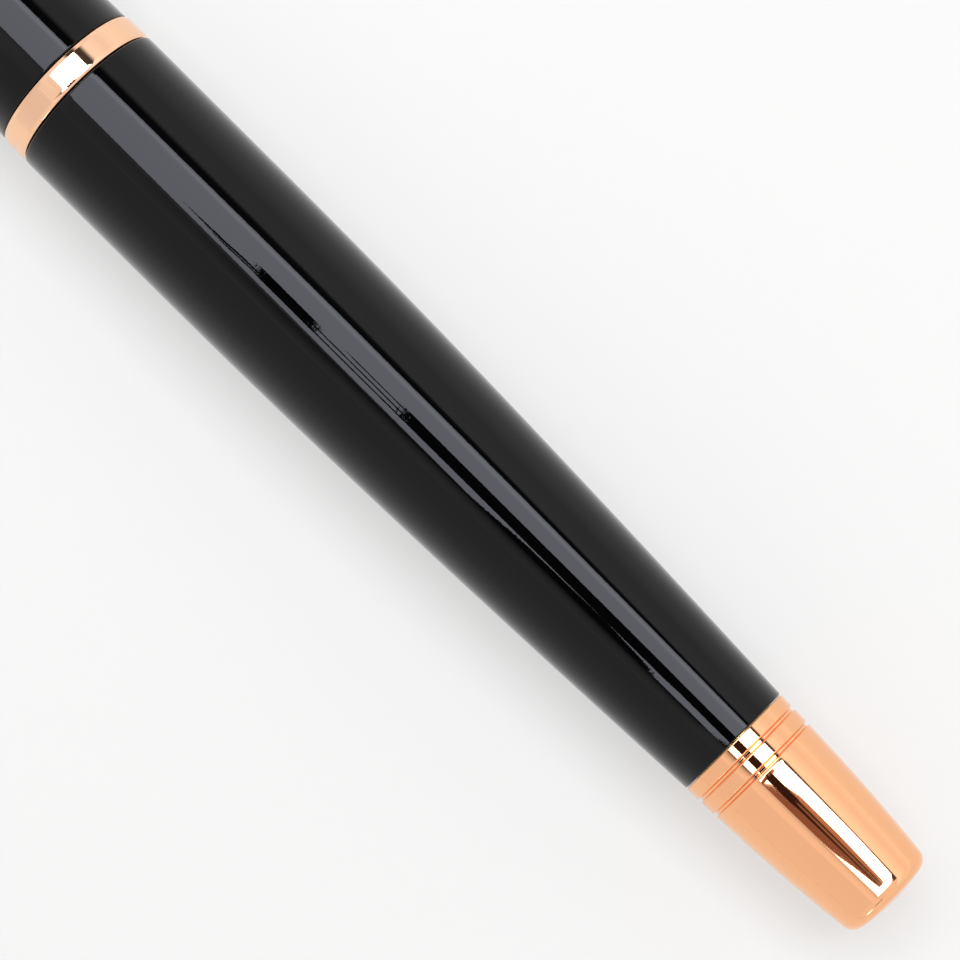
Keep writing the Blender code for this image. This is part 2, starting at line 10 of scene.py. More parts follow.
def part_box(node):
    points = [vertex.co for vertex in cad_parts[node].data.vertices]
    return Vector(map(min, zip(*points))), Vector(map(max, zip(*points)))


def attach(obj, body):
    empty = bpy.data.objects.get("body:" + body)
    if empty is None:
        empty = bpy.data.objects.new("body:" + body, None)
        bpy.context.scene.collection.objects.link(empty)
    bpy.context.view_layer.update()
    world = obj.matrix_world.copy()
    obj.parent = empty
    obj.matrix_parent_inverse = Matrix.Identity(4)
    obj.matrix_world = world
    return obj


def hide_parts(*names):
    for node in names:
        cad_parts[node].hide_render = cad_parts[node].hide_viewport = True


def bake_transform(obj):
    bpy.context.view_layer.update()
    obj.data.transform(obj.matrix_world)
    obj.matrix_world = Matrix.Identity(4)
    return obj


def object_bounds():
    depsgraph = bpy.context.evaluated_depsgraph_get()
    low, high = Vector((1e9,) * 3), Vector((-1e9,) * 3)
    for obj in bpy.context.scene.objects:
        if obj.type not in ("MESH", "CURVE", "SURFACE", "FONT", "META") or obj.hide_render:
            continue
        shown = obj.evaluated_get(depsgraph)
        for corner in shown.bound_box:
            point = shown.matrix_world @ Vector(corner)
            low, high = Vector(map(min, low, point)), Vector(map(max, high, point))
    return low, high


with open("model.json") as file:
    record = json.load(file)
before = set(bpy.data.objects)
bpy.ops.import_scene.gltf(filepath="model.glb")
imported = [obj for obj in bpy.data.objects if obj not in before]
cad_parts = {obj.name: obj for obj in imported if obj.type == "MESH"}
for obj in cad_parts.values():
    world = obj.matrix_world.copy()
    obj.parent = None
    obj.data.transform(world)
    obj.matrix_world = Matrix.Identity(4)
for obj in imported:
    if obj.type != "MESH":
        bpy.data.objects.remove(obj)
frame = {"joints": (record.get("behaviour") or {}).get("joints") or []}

MM = 0.001
CAD_BOX = [list(corner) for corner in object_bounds()]

# How finely round shapes are cut
TURNS_AROUND = 192
TURNS_SMALL = 96
TURNS_TINY = 48
CORNER_PAD = 0.02
CORNER_STEP = 15
CORNER_REACH = 0.49
SHARP_ANGLE = 32
TINY = 1e-6

# Shape, in millimetres. A line's points are (station, radius), with the rounding of the corner
# there as a third value; the two ends of a curve are (station, radius, slope).
# Roundings of edges:
HAIR_EDGE = 0.03
FINE_EDGE = 0.05
THIN_EDGE = 0.08
SMALL_EDGE = 0.1
RIM_EDGE = 0.12
SOFT_EDGE = 0.15
ROUND_EDGE = 0.3

# Both finials: central flat, dome, corner and grooves
END_FLAT = 1.2
END_DOME_STEPS = 9
END_CORNER = 1.05
END_CORNER_START = 168
END_CORNER_STEPS = 14
GROOVE = 0.2
GROOVE_HALF = 0.205
GROOVE_FLOOR_HALF = 0.085
GROOVE_FLOOR_EDGE = 0.025
GROOVE_LIP = 0.13

# Threads of the barrel's bush and the section's sleeve
THREAD_PITCH = 0.75
THREAD_DEPTH = 0.3
THREAD_STEEPNESS = 4.8
THREAD_STEPS = 200

# Barrel tube: taper, mouth as (steps back, steps in, rounding), and bore
TAIL_SLOPE = 0.046
TAPER_SLOPE = 0.004
TAPER_LENGTH = 50.25
TAPER_RISE = 0.037
TAPER_STEPS = 64
BARREL_MOUTH = ((0.45, 0.001, 2.0), (0.0, 0.025, SOFT_EDGE))
BARREL_BORE_REAR = 3.75
BARREL_BORE = [(27.0, 3.75, 0.2), (29.0, 4.68, 0.5), (44.0, 5.24, 1.0), (65.6, 5.66, 0.5)]
BARREL_BORE_FRONT = 5.68

# Barrel bush: bore, its flared mouths as (length, rise), and the thread's distance from each end
BUSH_BORE = 4.55
BUSH_FLARE_REAR = (0.4, 0.25)
BUSH_FLARE_FRONT = (0.9, 0.35)
BUSH_THREAD_REAR = 0.5
BUSH_THREAD_FRONT = 1.2

# Tail finial and the bush that holds it
TAIL_SIDE_REAR = (1.18, 3.83, 0.108)
TAIL_SIDE_FRONT = (12.84, 4.645, 0.0295)
TAIL_SIDE_STEPS = 26
TAIL_GROOVES = (13.145, 14.63)
TAIL_BAND_RISE = 0.062
TAIL_HOLLOW = [(2.2, 0.0), (2.2, 2.7, ROUND_EDGE), (7.4, 3.2, SMALL_EDGE), (7.6, 3.72, SMALL_EDGE)]
TAIL_HOLLOW_FRONT = 3.72
TAIL_BUSH_FLOOR = 1.0
TAIL_BUSH_BORE = 3.2

# Spring washer, spring cup and refill spring
SEAT_BORE = 1.2
CUP_EDGE = 0.18
CUP_RIM = 0.4
CUP_DISH_RIM = 0.7
CUP_DISH = 0.2
SPRING_WIRE = 0.2
SPRING_WIRE_SHARE = 0.98
SPRING_END_GAP = 0.01
SPRING_SIDE_GAP = 0.002
SPRING_TURNS = 5
SPRING_SIDES = 12
SPRING_POINTS_PER_TURN = 40
SPRING_CLOSING = 0.09

# Refill: plug with a ring-shaped dimple as (depth, radius), and tube with rolled grooves
PLUG_DIMPLE = ((0.0, 0.9), (0.35, 1.2), (0.35, 1.7), (0.0, 2.0))
PLUG_SHOULDER = 16.9
PLUG_NECK = 2.55
PLUG_NECK_EDGE = 0.2
REFILL_BORE = 2.65
ROLL_DEPTH = 0.12
ROLL_HALF = 0.5
ROLL_EDGE = 0.4
ROLL_REAR = 1.6
ROLL_FRONT = 2.2

# Refill: holder, point and ball
HOLDER_REAR = 2.55
HOLDER_SHOULDER = 100.2
HOLDER_NECK_STATION = 107.7
HOLDER_NECK = 1.6
HOLDER_NECK_EDGE = 0.25
HOLDER_TAPER = 0.4
HOLDER_FRONT = 1.4
HOLDER_BORE = 0.65
HOLDER_SOCKET_STATION = 112.0
HOLDER_SOCKET = 1.25
POINT_TAPER = [(121.0, 0.95, SMALL_EDGE)]
POINT_SHOULDER = 120.6
POINT_SHOULDER_EDGE = 0.2
POINT_RIM = 0.5
POINT_RIM_EDGE = 0.04
POINT_BORE_REAR = 0.65
POINT_BORE = [(119.8, 0.65), (120.3, 0.22), (122.62, 0.22), (122.64, 0.41)]
POINT_SEAT = 0.41
POINT_SEAT_EDGE = 0.02
BALL_FINENESS = 4

# Section: sleeve, sealing ring and trim ring
SLEEVE_CHAMFER = 0.3
SLEEVE_SHOULDER = 81.5
SLEEVE_NECK = 4.0
SLEEVE_BORE = 3.3
SLEEVE_THREAD_REAR = 0.4
SLEEVE_THREAD_FRONT = 0.8
SEAL_CENTRE = (82.03, 4.4)
SEAL_WIRE = 0.3
SEAL_STEPS = 14
TRIM_CENTRE = (83.25, 4.4)
TRIM_ROUND = 0.62
TRIM_ARC = (150, 30)
TRIM_STEPS = 18
TRIM_EDGE = 0.06
TRIM_HALF = 0.537
TRIM_BORE = 4.1

# Section: grip and nose cone
GRIP_START = 0.3
GRIP_WAIST = (106.5, 4.06, 0.0)
GRIP_WAIST_STEPS = 40
GRIP_FLARE = (112.0, 4.36, 0.06)
GRIP_FLARE_STEPS = 20
GRIP_LIP_CENTRE = (112.5, 3.9)
GRIP_LIP = 0.47
GRIP_LIP_ARC = (80, 10)
GRIP_LIP_STEPS = 8
GRIP_BORE_REAR = 4.08
GRIP_BORE = ((88.1, 4.08), (88.1, 3.15), (107.9, 3.15), (107.9, 3.42))
GRIP_SOCKET = 3.42
NOSE_SPIGOT = 3.3
NOSE_SHOULDER = 113.06
NOSE_CORNER = 113.3
NOSE_TAPER_REAR = (113.6, 3.84, -0.2)
NOSE_TAPER_FRONT = (119.8, 1.85, -0.38)
NOSE_STEPS = 30
NOSE_RIM = 1.68
NOSE_BORE_REAR = 1.75
NOSE_BORE = [(116.8, 1.75, FINE_EDGE), (117.3, 1.3, FINE_EDGE)]
NOSE_BORE_FRONT = 1.3
NOSE_BORE_EDGE = 0.06

# Cap: tube, lip ring with its chamfer as (steps back, steps in, rounding), and liner
CAP_SPIGOT = 5.88
CAP_GAP = 0.04
CAP_EASE = 0.7
CAP_SLOPE_REAR = -0.003
CAP_SLOPE_TOP = -0.018
CAP_TOP = 5.72
CAP_TOP_EASED = 5.733
CAP_STEPS = 40
CAP_BORE_REAR = 5.5
CAP_BORE = [(90.0, 5.48, 1.0)]
CAP_BORE_TOP = 5.12
LIP_BORE = 5.96
LIP_ROUND_LENGTH = 0.42
LIP_ROUND_DEPTH = 0.3
LIP_TURNS = [math.radians(9 * step) for step in range(11)]
LIP_FLAT_START = 0.45
LIP_CHAMFER = ((0.34, 0.0, 0.06), (0.05, 0.1, 0.04))
LIP_CHAMFER_END = 0.25
LINER_OUTER = [(90.0, 5.36, 0.5)]
LINER_TOP = 5.02
LINER_MOUTH = 5.14
LINER_BORE = [(91.0, 5.08, 0.3), (93.0, 4.9, 0.3), (124.3, 4.62, 0.8), (124.3, 0.0)]

# The cap's top: insert, clip collar and finial; the finial's line is counted from its outer end
STUD_HOLE = 1.58
STUD_HOLE_TOP = 133.2
COLLAR_BORE = 1.62
CAP_SIDE_TOP = (1.1, 4.72, 0.11)
CAP_SIDE_REAR = (6.2, 5.12, 0.05)
CAP_SIDE_STEPS = 16
CAP_GROOVES = (6.52, 7.97)
CAP_BANDS = (5.14, 5.22)

# Clip; the second value of each curve's end is the height of the clip's underside above the axis
CLIP_TIP = (93.4, 6.85, -0.38)
CLIP_CONTACT = (95.4, 6.5, 0.0)
CLIP_KNEE = (99.5, 6.85, 0.06)
CLIP_BEND = (126.9, 7.5, 0.0)
CLIP_BEND_RADIUS = 1.1
CLIP_ROOT_HEIGHTS = (5.72, 6.3)
CLIP_ROOT_STEPS = 3
CLIP_BEND_STEPS = 16
CLIP_ARM_STEPS = 40
CLIP_KNEE_STEPS = 16
CLIP_TIP_STEPS = 14
CLIP_THICKNESS = 0.73
CLIP_CROWN = 0.12
CLIP_ROOT_HALF_WIDTH = 2.08
CLIP_TIP_HALF_WIDTH = 1.45
CLIP_TIP_BLUNTNESS = 0.28
CLIP_COLUMNS = 14
CLIP_EDGE_STEPS = 8
CLIP_EDGE_SHARE = 0.42
CLIP_EDGE_FULLNESS = 0.92

# The camera: places from the pen's tail, lens and sensor in millimetres; range in metres
CAMERA_FOOT = 18.94
CAMERA_HEIGHT = 294.2
CAMERA_AIM = 41.92
CAMERA_SIDE = -0.48
CAMERA_LENS = 154.34
CAMERA_SENSOR = 36.0
CAMERA_RANGE = (0.01, 20.0)
PEN_SLANT = math.radians(44.8)


# ---------------------------------------------------------------- outlines

def ends(node):
    """Rear station, front station and largest radius of a turned node, in millimetres."""
    low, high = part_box(node)
    return low.x / MM, high.x / MM, high.z / MM


def hermite(start, end, steps):
    """Points on a cubic between two (station, radius, slope) ends."""
    x0, r0, m0 = start
    x1, r1, m1 = end
    length = x1 - x0
    points = []
    for step in range(steps + 1):
        t = step / steps
        radius = (
            (2 * t**3 - 3 * t**2 + 1) * r0
            + (t**3 - 2 * t**2 + t) * length * m0
            + (3 * t**2 - 2 * t**3) * r1
            + (t**3 - t**2) * length * m1
        )
        points.append((x0 + t * length, radius))
    return points


def arc(centre, radius, start_deg, end_deg, steps):
    """Points on an arc; 0 degrees points along +X and 90 degrees away from the axis."""
    points = []
    for step in range(steps + 1):
        angle = math.radians(start_deg + (end_deg - start_deg) * step / steps)
        points.append((centre[0] + radius * math.cos(angle), centre[1] + radius * math.sin(angle)))
    return points


def straight(start, end, steps):
    """Evenly spaced points from start to end."""
    points = []
    for step in range(steps + 1):
        t = step / steps
        points.append((start[0] + (end[0] - start[0]) * t, start[1] + (end[1] - start[1]) * t))
    return points


def round_corner(before, corner, after, radius):
    """Points of a small arc that replaces a corner, with a point on the flat on either side."""
    here = Vector(corner)
    back = Vector(before) - here
    ahead = Vector(after) - here
    turn = back.angle(ahead)
    limit = CORNER_REACH * min(back.length, ahead.length)
    reach = min(radius / math.tan(turn / 2), limit)
    radius = reach * math.tan(turn / 2)
    back_way, ahead_way = back.normalized(), ahead.normalized()
    start = here + back_way * reach
    finish = here + ahead_way * reach
    centre = here + (back_way + ahead_way).normalized() * (radius / math.sin(turn / 2))
    steps = max(2, round(math.degrees(math.pi - turn) / CORNER_STEP))
    pad = min(CORNER_PAD, (back.length / 2 - reach) / 2)
    points = [tuple(start + back_way * pad)]
    for step in range(steps + 1):
        spoke = (start - centre).lerp(finish - centre, step / steps).normalized() * radius
        points.append(tuple(centre + spoke))
    pad = min(CORNER_PAD, (ahead.length / 2 - reach) / 2)
    points.append(tuple(finish + ahead_way * pad))
    return points


def softened(outline, closed):
    """An outline whose points may carry a third value, the radius that rounds the corner there."""
    count = len(outline)
    points = []
    for index, point in enumerate(outline):
        is_end = not closed and index in (0, count - 1)
        if len(point) < 3 or is_end:
            points.append(tuple(point[:2]))
            continue
        before = outline[index - 1][:2]
        after = outline[(index + 1) % count][:2]
        points += round_corner(before, point[:2], after, point[2])
    return points


def end_cap_line(side_end):
    """Outer line of an end piece as far as its side: central flat, shallow dome, round corner."""
    station, side_radius, side_slope = side_end
    lean = math.degrees(math.atan(side_slope))
    tangent = math.radians(90 + lean)
    centre = (
        station - END_CORNER * math.cos(tangent),
        side_radius - END_CORNER * math.sin(tangent),
    )
    corner = arc(centre, END_CORNER, END_CORNER_START, 90 + lean, END_CORNER_STEPS)
    edge_station, edge_radius = corner[0]
    dome = []
    for step in range(END_DOME_STEPS):
        radius = END_FLAT + (edge_radius - END_FLAT) * step / END_DOME_STEPS
        share = (radius**2 - END_FLAT**2) / (edge_radius**2 - END_FLAT**2)
        dome.append((edge_station * share, radius))
    return [(0.0, 0.0)] + dome + corner


def groove_line(centre, radius):
    """A narrow groove with rounded lips, steep walls and a small flat floor."""
    return [
        (centre - GROOVE_HALF, radius, GROOVE_LIP),
        (centre - GROOVE_FLOOR_HALF, radius - GROOVE, GROOVE_FLOOR_EDGE),
        (centre + GROOVE_FLOOR_HALF, radius - GROOVE, GROOVE_FLOOR_EDGE),
        (centre + GROOVE_HALF, radius, GROOVE_LIP),
    ]


def band_line(grooves, front, rear_radius, front_radius):
    """Two polished bands with a narrow groove behind each."""
    first, second = grooves
    middle = (rear_radius + front_radius) / 2
    line = groove_line(first, rear_radius) + groove_line(second, middle)
    return line + [(front, front_radius, SMALL_EDGE)]


# ---------------------------------------------------------------- pieces

def make_object(name, mesh_source, node, body, material):
    """Put a bmesh into the scene as the piece that stands for a CAD node."""
    bmesh.ops.recalc_face_normals(mesh_source, faces=mesh_source.faces)
    mesh = bpy.data.meshes.new(name)
    mesh_source.to_mesh(mesh)
    mesh_source.free()
    mesh.shade_smooth()
    mesh.set_sharp_from_angle(angle=math.radians(SHARP_ANGLE))
    piece = bpy.data.objects.new(name, mesh)
    bpy.context.scene.collection.objects.link(piece)
    mesh.materials.append(material)
    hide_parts(node)
    if body:
        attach(piece, body)
    return piece


def turned_mesh(outline, closed, around, relief=None):
    """Turn an outline about the pen's axis; relief may change a point's radius with its angle."""
    source = bmesh.new()
    rings = []
    for station, radius in outline:
        if radius < TINY:
            rings.append([source.verts.new((station * MM, 0.0, 0.0))])
            continue
        ring = []
        for index in range(around):
            angle = 2 * math.pi * index / around
            here = relief(station, radius, angle) if relief else radius
            reach = here * MM
            place = (station * MM, reach * math.sin(angle), reach * math.cos(angle))
            ring.append(source.verts.new(place))
        rings.append(ring)
    pairs = list(zip(rings, rings[1:]))
    if closed:
        pairs.append((rings[-1], rings[0]))
    for first, second in pairs:
        for index in range(around):
            follower = (index + 1) % around
            if len(first) == 1 and len(second) == 1:
                break
            if len(first) == 1:
                source.faces.new((first[0], second[index], second[follower]))
            elif len(second) == 1:
                source.faces.new((first[index], second[0], first[follower]))
            else:
                source.faces.new((first[index], second[index], second[follower], first[follower]))
    return source


def turned(node, body, material, outer, inner, around=TURNS_AROUND, relief=None):
    """A turned piece from its outer and inner lines, both given tail to front."""
    loop = outer[::-1] + inner
    closed = True
    for index, point in enumerate(loop):
        follower = (index + 1) % len(loop)
        if point[1] == 0 and loop[follower][1] == 0:
            loop = loop[follower:] + loop[:follower]
            closed = False
            break
    source = turned_mesh(softened(loop, closed), closed, around, relief)
    return make_object(node + "_skin", source, node, body, material)


def tube_ends(rear, front, outer_radius, inner_radius, edge):
    """Outer and inner lines of a plain tube with softened rims."""
    return (
        [(rear, outer_radius, edge), (front, outer_radius, edge)],
        [(rear, inner_radius, edge), (front, inner_radius, edge)],
    )


def rod_line(rear, front, radius, rear_edge, front_edge):
    """Outer line of a plain solid rod with softened rims."""
    return [(rear, 0.0), (rear, radius, rear_edge), (front, radius, front_edge), (front, 0.0)]


def thread_relief(rear, front, crest, depth):
    """Radius change of a helical thread between two stations, fading out at its ends."""
    def relief(station, radius, angle):
        if abs(radius - crest) > TINY or not rear <= station <= front:
            return radius
        phase = (station / THREAD_PITCH + angle / (2 * math.pi)) % 1.0
        ridge = min(1.0, THREAD_STEEPNESS * abs(phase - 0.5))
        fade = min(1.0, (station - rear) / THREAD_PITCH, (front - station) / THREAD_PITCH)
        return radius - depth * (1 - ridge) * fade
    return relief


def build_barrel(looks):
    """Barrel tube, threaded bush, tail finial and tail bush."""
    rear, front, mouth = ends("barrel_tube")
    taper = hermite(
        (rear, ends("tail_finial")[2], TAIL_SLOPE),
        (rear + TAPER_LENGTH, mouth - TAPER_RISE, TAPER_SLOPE),
        TAPER_STEPS,
    )
    outer = [(*taper[0], RIM_EDGE)] + taper[1:]
    outer += [(front - back, mouth - inward, edge) for back, inward, edge in BARREL_MOUTH]
    inner = [(rear, BARREL_BORE_REAR, SMALL_EDGE)] + BARREL_BORE
    inner += [(front, BARREL_BORE_FRONT, RIM_EDGE)]
    turned("barrel_tube", "barrel", looks["lacquer"], outer, inner)

    rear, front, radius = ends("barrel_bush")
    thread_rear, thread_front = rear + BUSH_THREAD_REAR, front - BUSH_THREAD_FRONT
    length, rise = BUSH_FLARE_REAR
    inner = [(rear, BUSH_BORE + rise, SMALL_EDGE), (rear + length, BUSH_BORE)]
    inner += straight((thread_rear, BUSH_BORE), (thread_front, BUSH_BORE), THREAD_STEPS)
    length, rise = BUSH_FLARE_FRONT
    inner += [(front - length, BUSH_BORE), (front, BUSH_BORE + rise, THIN_EDGE)]
    outer = [(rear, radius, SOFT_EDGE), (front, radius, SMALL_EDGE)]
    relief = thread_relief(thread_rear, thread_front, BUSH_BORE, -THREAD_DEPTH)
    turned("barrel_bush", "barrel", looks["brass"], outer, inner, TURNS_SMALL, relief)

    front, radius = ends("tail_finial")[1:]
    outer = end_cap_line(TAIL_SIDE_REAR)
    outer += hermite(TAIL_SIDE_REAR, TAIL_SIDE_FRONT, TAIL_SIDE_STEPS)[1:]
    outer += band_line(TAIL_GROOVES, front, radius - TAIL_BAND_RISE, radius)
    inner = TAIL_HOLLOW + [(front, TAIL_HOLLOW_FRONT, FINE_EDGE)]
    turned("tail_finial", "barrel", looks["rose_gold"], outer, inner)

    rear, front, radius = ends("tail_bush")
    floor = rear + TAIL_BUSH_FLOOR
    outer = [(rear, 0.0), (rear, radius, SOFT_EDGE), (front, radius, SOFT_EDGE)]
    inner = [(floor, 0.0), (floor, TAIL_BUSH_BORE, SOFT_EDGE), (front, TAIL_BUSH_BORE, RIM_EDGE)]
    turned("tail_bush", "barrel", looks["brass"], outer, inner, TURNS_SMALL)


def build_spring(looks):
    """Spring washer, refill spring and the cup that presses on the refill."""
    outer, inner = tube_ends(*ends("spring_seat"), SEAT_BORE, FINE_EDGE)
    turned("spring_seat", "spring_rear", looks["steel"], outer, inner, TURNS_SMALL)

    rear, front, radius = ends("spring_cup")
    dish = front - CUP_DISH
    outer = [(rear, 0.0), (rear, radius, CUP_EDGE), (front, radius, SMALL_EDGE)]
    outer += [(front, radius - CUP_RIM, THIN_EDGE), (dish, radius - CUP_DISH_RIM, THIN_EDGE)]
    outer += [(dish, 0.0)]
    look = looks["white_plastic"]
    turned("spring_cup", "spring_front", look, outer, [], TURNS_SMALL)

    low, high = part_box("refill_spring")
    coil = high.y / MM - SPRING_WIRE - SPRING_SIDE_GAP
    rear = low.x / MM + SPRING_WIRE + SPRING_END_GAP
    front = high.x / MM - SPRING_WIRE - SPRING_END_GAP
    spring = spring_mesh(rear, front, coil, SPRING_WIRE * SPRING_WIRE_SHARE)
    look = looks["steel"]
    piece = make_object("refill_spring_skin", spring, "refill_spring", None, look)
    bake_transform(piece)


def spring_mesh(rear, front, coil, wire):
    """Round wire wound on a helix, with its last half turns closed up."""
    count = SPRING_TURNS * SPRING_POINTS_PER_TURN
    along = Vector((1, 0, 0))
    source = bmesh.new()
    rings = []
    for index in range(count + 1):
        t = index / count
        angle = 2 * math.pi * SPRING_TURNS * t
        eased = t - math.sin(2 * math.pi * t) * SPRING_CLOSING
        station = rear + (front - rear) * eased
        middle = Vector((station, coil * math.cos(angle), coil * math.sin(angle)))
        outward = Vector((0, math.cos(angle), math.sin(angle)))
        ring = []
        for side in range(SPRING_SIDES):
            turn = 2 * math.pi * side / SPRING_SIDES
            point = middle + (outward * math.cos(turn) + along * math.sin(turn)) * wire
            ring.append(source.verts.new(point * MM))
        rings.append(ring)
    join_rings(source, rings)
    return source


def join_rings(source, rings):
    """Skin a row of equal rings and close it at both ends."""
    for first, second in zip(rings, rings[1:]):
        for index in range(len(first)):
            follower = (index + 1) % len(first)
            source.faces.new((first[index], second[index], second[follower], first[follower]))
    source.faces.new(rings[0])
    source.faces.new(rings[-1][::-1])


def build_refill(looks):
    """Refill tube and plug, reservoir, holder, feed, point and ball."""
    plastic = looks["black_plastic"]
    rear, front, radius = ends("refill_plug")
    outer = [(rear, 0.0)] + [(rear + depth, reach, SMALL_EDGE) for depth, reach in PLUG_DIMPLE]
    outer += [(rear, radius, ROUND_EDGE), (PLUG_SHOULDER, radius, FINE_EDGE)]
    outer += [(PLUG_SHOULDER, PLUG_NECK, FINE_EDGE), (front, PLUG_NECK, PLUG_NECK_EDGE)]
    outer += [(front, 0.0)]
    turned("refill_plug", "refill", plastic, outer, [], TURNS_SMALL)

    rear, front, radius = ends("refill_tube")
    outer = [(rear, radius, THIN_EDGE)]
    for station in (rear + ROLL_REAR, front - ROLL_FRONT):
        outer += [
            (station - ROLL_HALF, radius, ROLL_EDGE),
            (station, radius - ROLL_DEPTH, ROLL_EDGE),
            (station + ROLL_HALF, radius, ROLL_EDGE),
        ]
    outer += [(front, radius, THIN_EDGE)]
    inner = [(rear, REFILL_BORE, FINE_EDGE), (front, REFILL_BORE, FINE_EDGE)]
    turned("refill_tube", "refill", looks["refill_steel"], outer, inner)

    outer = rod_line(*ends("ink_reservoir"), ROUND_EDGE, ROUND_EDGE)
    turned("ink_reservoir", "refill", looks["fibre"], outer, [], TURNS_SMALL)

    outer = rod_line(*ends("ink_feed"), SMALL_EDGE, ROUND_EDGE)
    turned("ink_feed", "refill", looks["fibre"], outer, [], TURNS_TINY)

    rear, front, radius = ends("point_holder")
    outer = [
        (rear, HOLDER_REAR, SMALL_EDGE),
        (HOLDER_SHOULDER, HOLDER_REAR, HAIR_EDGE),
        (HOLDER_SHOULDER, radius, SOFT_EDGE),
        (HOLDER_NECK_STATION, radius, HOLDER_NECK_EDGE),
        (HOLDER_NECK_STATION, HOLDER_NECK, SOFT_EDGE),
        (front - HOLDER_TAPER, HOLDER_NECK, SMALL_EDGE),
        (front, HOLDER_FRONT, FINE_EDGE),
    ]
    inner = [
        (rear, HOLDER_BORE, FINE_EDGE),
        (HOLDER_SOCKET_STATION, HOLDER_BORE, FINE_EDGE),
        (HOLDER_SOCKET_STATION, HOLDER_SOCKET, FINE_EDGE),
        (front, HOLDER_SOCKET, HAIR_EDGE),
    ]
    turned("point_holder", "refill", plastic, outer, inner, TURNS_SMALL)

    rear, front, radius = ends("point_tube")
    outer = [(rear, radius, FINE_EDGE), (POINT_SHOULDER, radius, POINT_SHOULDER_EDGE)]
    outer += POINT_TAPER + [(front, POINT_RIM, POINT_RIM_EDGE)]
    inner = [(rear, POINT_BORE_REAR, FINE_EDGE)] + POINT_BORE
    inner += [(front, POINT_SEAT, POINT_SEAT_EDGE)]
    turned("point_tube", "refill", looks["steel"], outer, inner, TURNS_SMALL)

    low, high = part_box("writing_ball")
    ball = bmesh.new()
    bmesh.ops.create_icosphere(ball, subdivisions=BALL_FINENESS, radius=(high.x - low.x) / 2)
    bmesh.ops.translate(ball, vec=(low + high) / 2, verts=ball.verts)
    make_object("writing_ball_skin", ball, "writing_ball", "ball", looks["carbide"])


def build_section(looks):
    """Grip section, threaded sleeve, sealing ring, trim ring and nose cone."""
    rear, front, radius = ends("section_sleeve")
    thread_rear, thread_front = rear + SLEEVE_THREAD_REAR, SLEEVE_SHOULDER - SLEEVE_THREAD_FRONT
    outer = [(rear, radius - SLEEVE_CHAMFER, FINE_EDGE), (rear + SLEEVE_CHAMFER, radius)]
    outer += straight((thread_rear, radius), (thread_front, radius), THREAD_STEPS)
    outer += [(SLEEVE_SHOULDER, radius, THIN_EDGE), (SLEEVE_SHOULDER, SLEEVE_NECK, FINE_EDGE)]
    outer += [(front, SLEEVE_NECK, SMALL_EDGE)]
    inner = [(rear, SLEEVE_BORE, SMALL_EDGE), (front, SLEEVE_BORE, SMALL_EDGE)]
    relief = thread_relief(thread_rear, thread_front, radius, THREAD_DEPTH)
    turned("section_sleeve", "section", looks["brass"], outer, inner, TURNS_SMALL, relief)

    outer = arc(SEAL_CENTRE, SEAL_WIRE, 180, 0, SEAL_STEPS)
    inner = arc(SEAL_CENTRE, SEAL_WIRE, 180, 360, SEAL_STEPS)[1:-1]
    turned("section_seal", "section", looks["rubber"], outer, inner)

    outer = arc(TRIM_CENTRE, TRIM_ROUND, *TRIM_ARC, TRIM_STEPS)
    outer = [(*outer[0], TRIM_EDGE)] + outer[1:-1] + [(*outer[-1], TRIM_EDGE)]
    middle = TRIM_CENTRE[0]
    inner = [(middle - TRIM_HALF, TRIM_BORE, HAIR_EDGE), (middle + TRIM_HALF, TRIM_BORE, HAIR_EDGE)]
    turned("section_ring", "section", looks["rose_gold"], outer, inner)

    rear, _, radius = ends("grip_section")
    outer = [(rear, radius, RIM_EDGE)]
    outer += hermite((rear + GRIP_START, radius, 0.0), GRIP_WAIST, GRIP_WAIST_STEPS)[1:]
    outer += hermite(GRIP_WAIST, GRIP_FLARE, GRIP_FLARE_STEPS)[1:]
    outer += arc(GRIP_LIP_CENTRE, GRIP_LIP, *GRIP_LIP_ARC, GRIP_LIP_STEPS)
    lip = outer[-1][0]
    inner = [(rear, GRIP_BORE_REAR), *GRIP_BORE, (lip, GRIP_SOCKET)]
    inner = [(*point, FINE_EDGE) for point in inner]
    turned("grip_section", "section", looks["lacquer"], outer, inner)

    rear, front, radius = ends("nose_cone")
    outer = [(rear, NOSE_SPIGOT, SMALL_EDGE), (NOSE_SHOULDER, NOSE_SPIGOT, HAIR_EDGE)]
    outer += [(NOSE_SHOULDER, radius, SMALL_EDGE), (NOSE_CORNER, radius, SMALL_EDGE)]
    outer += hermite(NOSE_TAPER_REAR, NOSE_TAPER_FRONT, NOSE_STEPS)
    outer += [(front, NOSE_RIM, SMALL_EDGE)]
    inner = [(rear, NOSE_BORE_REAR, FINE_EDGE)] + NOSE_BORE
    inner += [(front, NOSE_BORE_FRONT, NOSE_BORE_EDGE)]
    turned("nose_cone", "section", looks["rose_gold"], outer, inner)


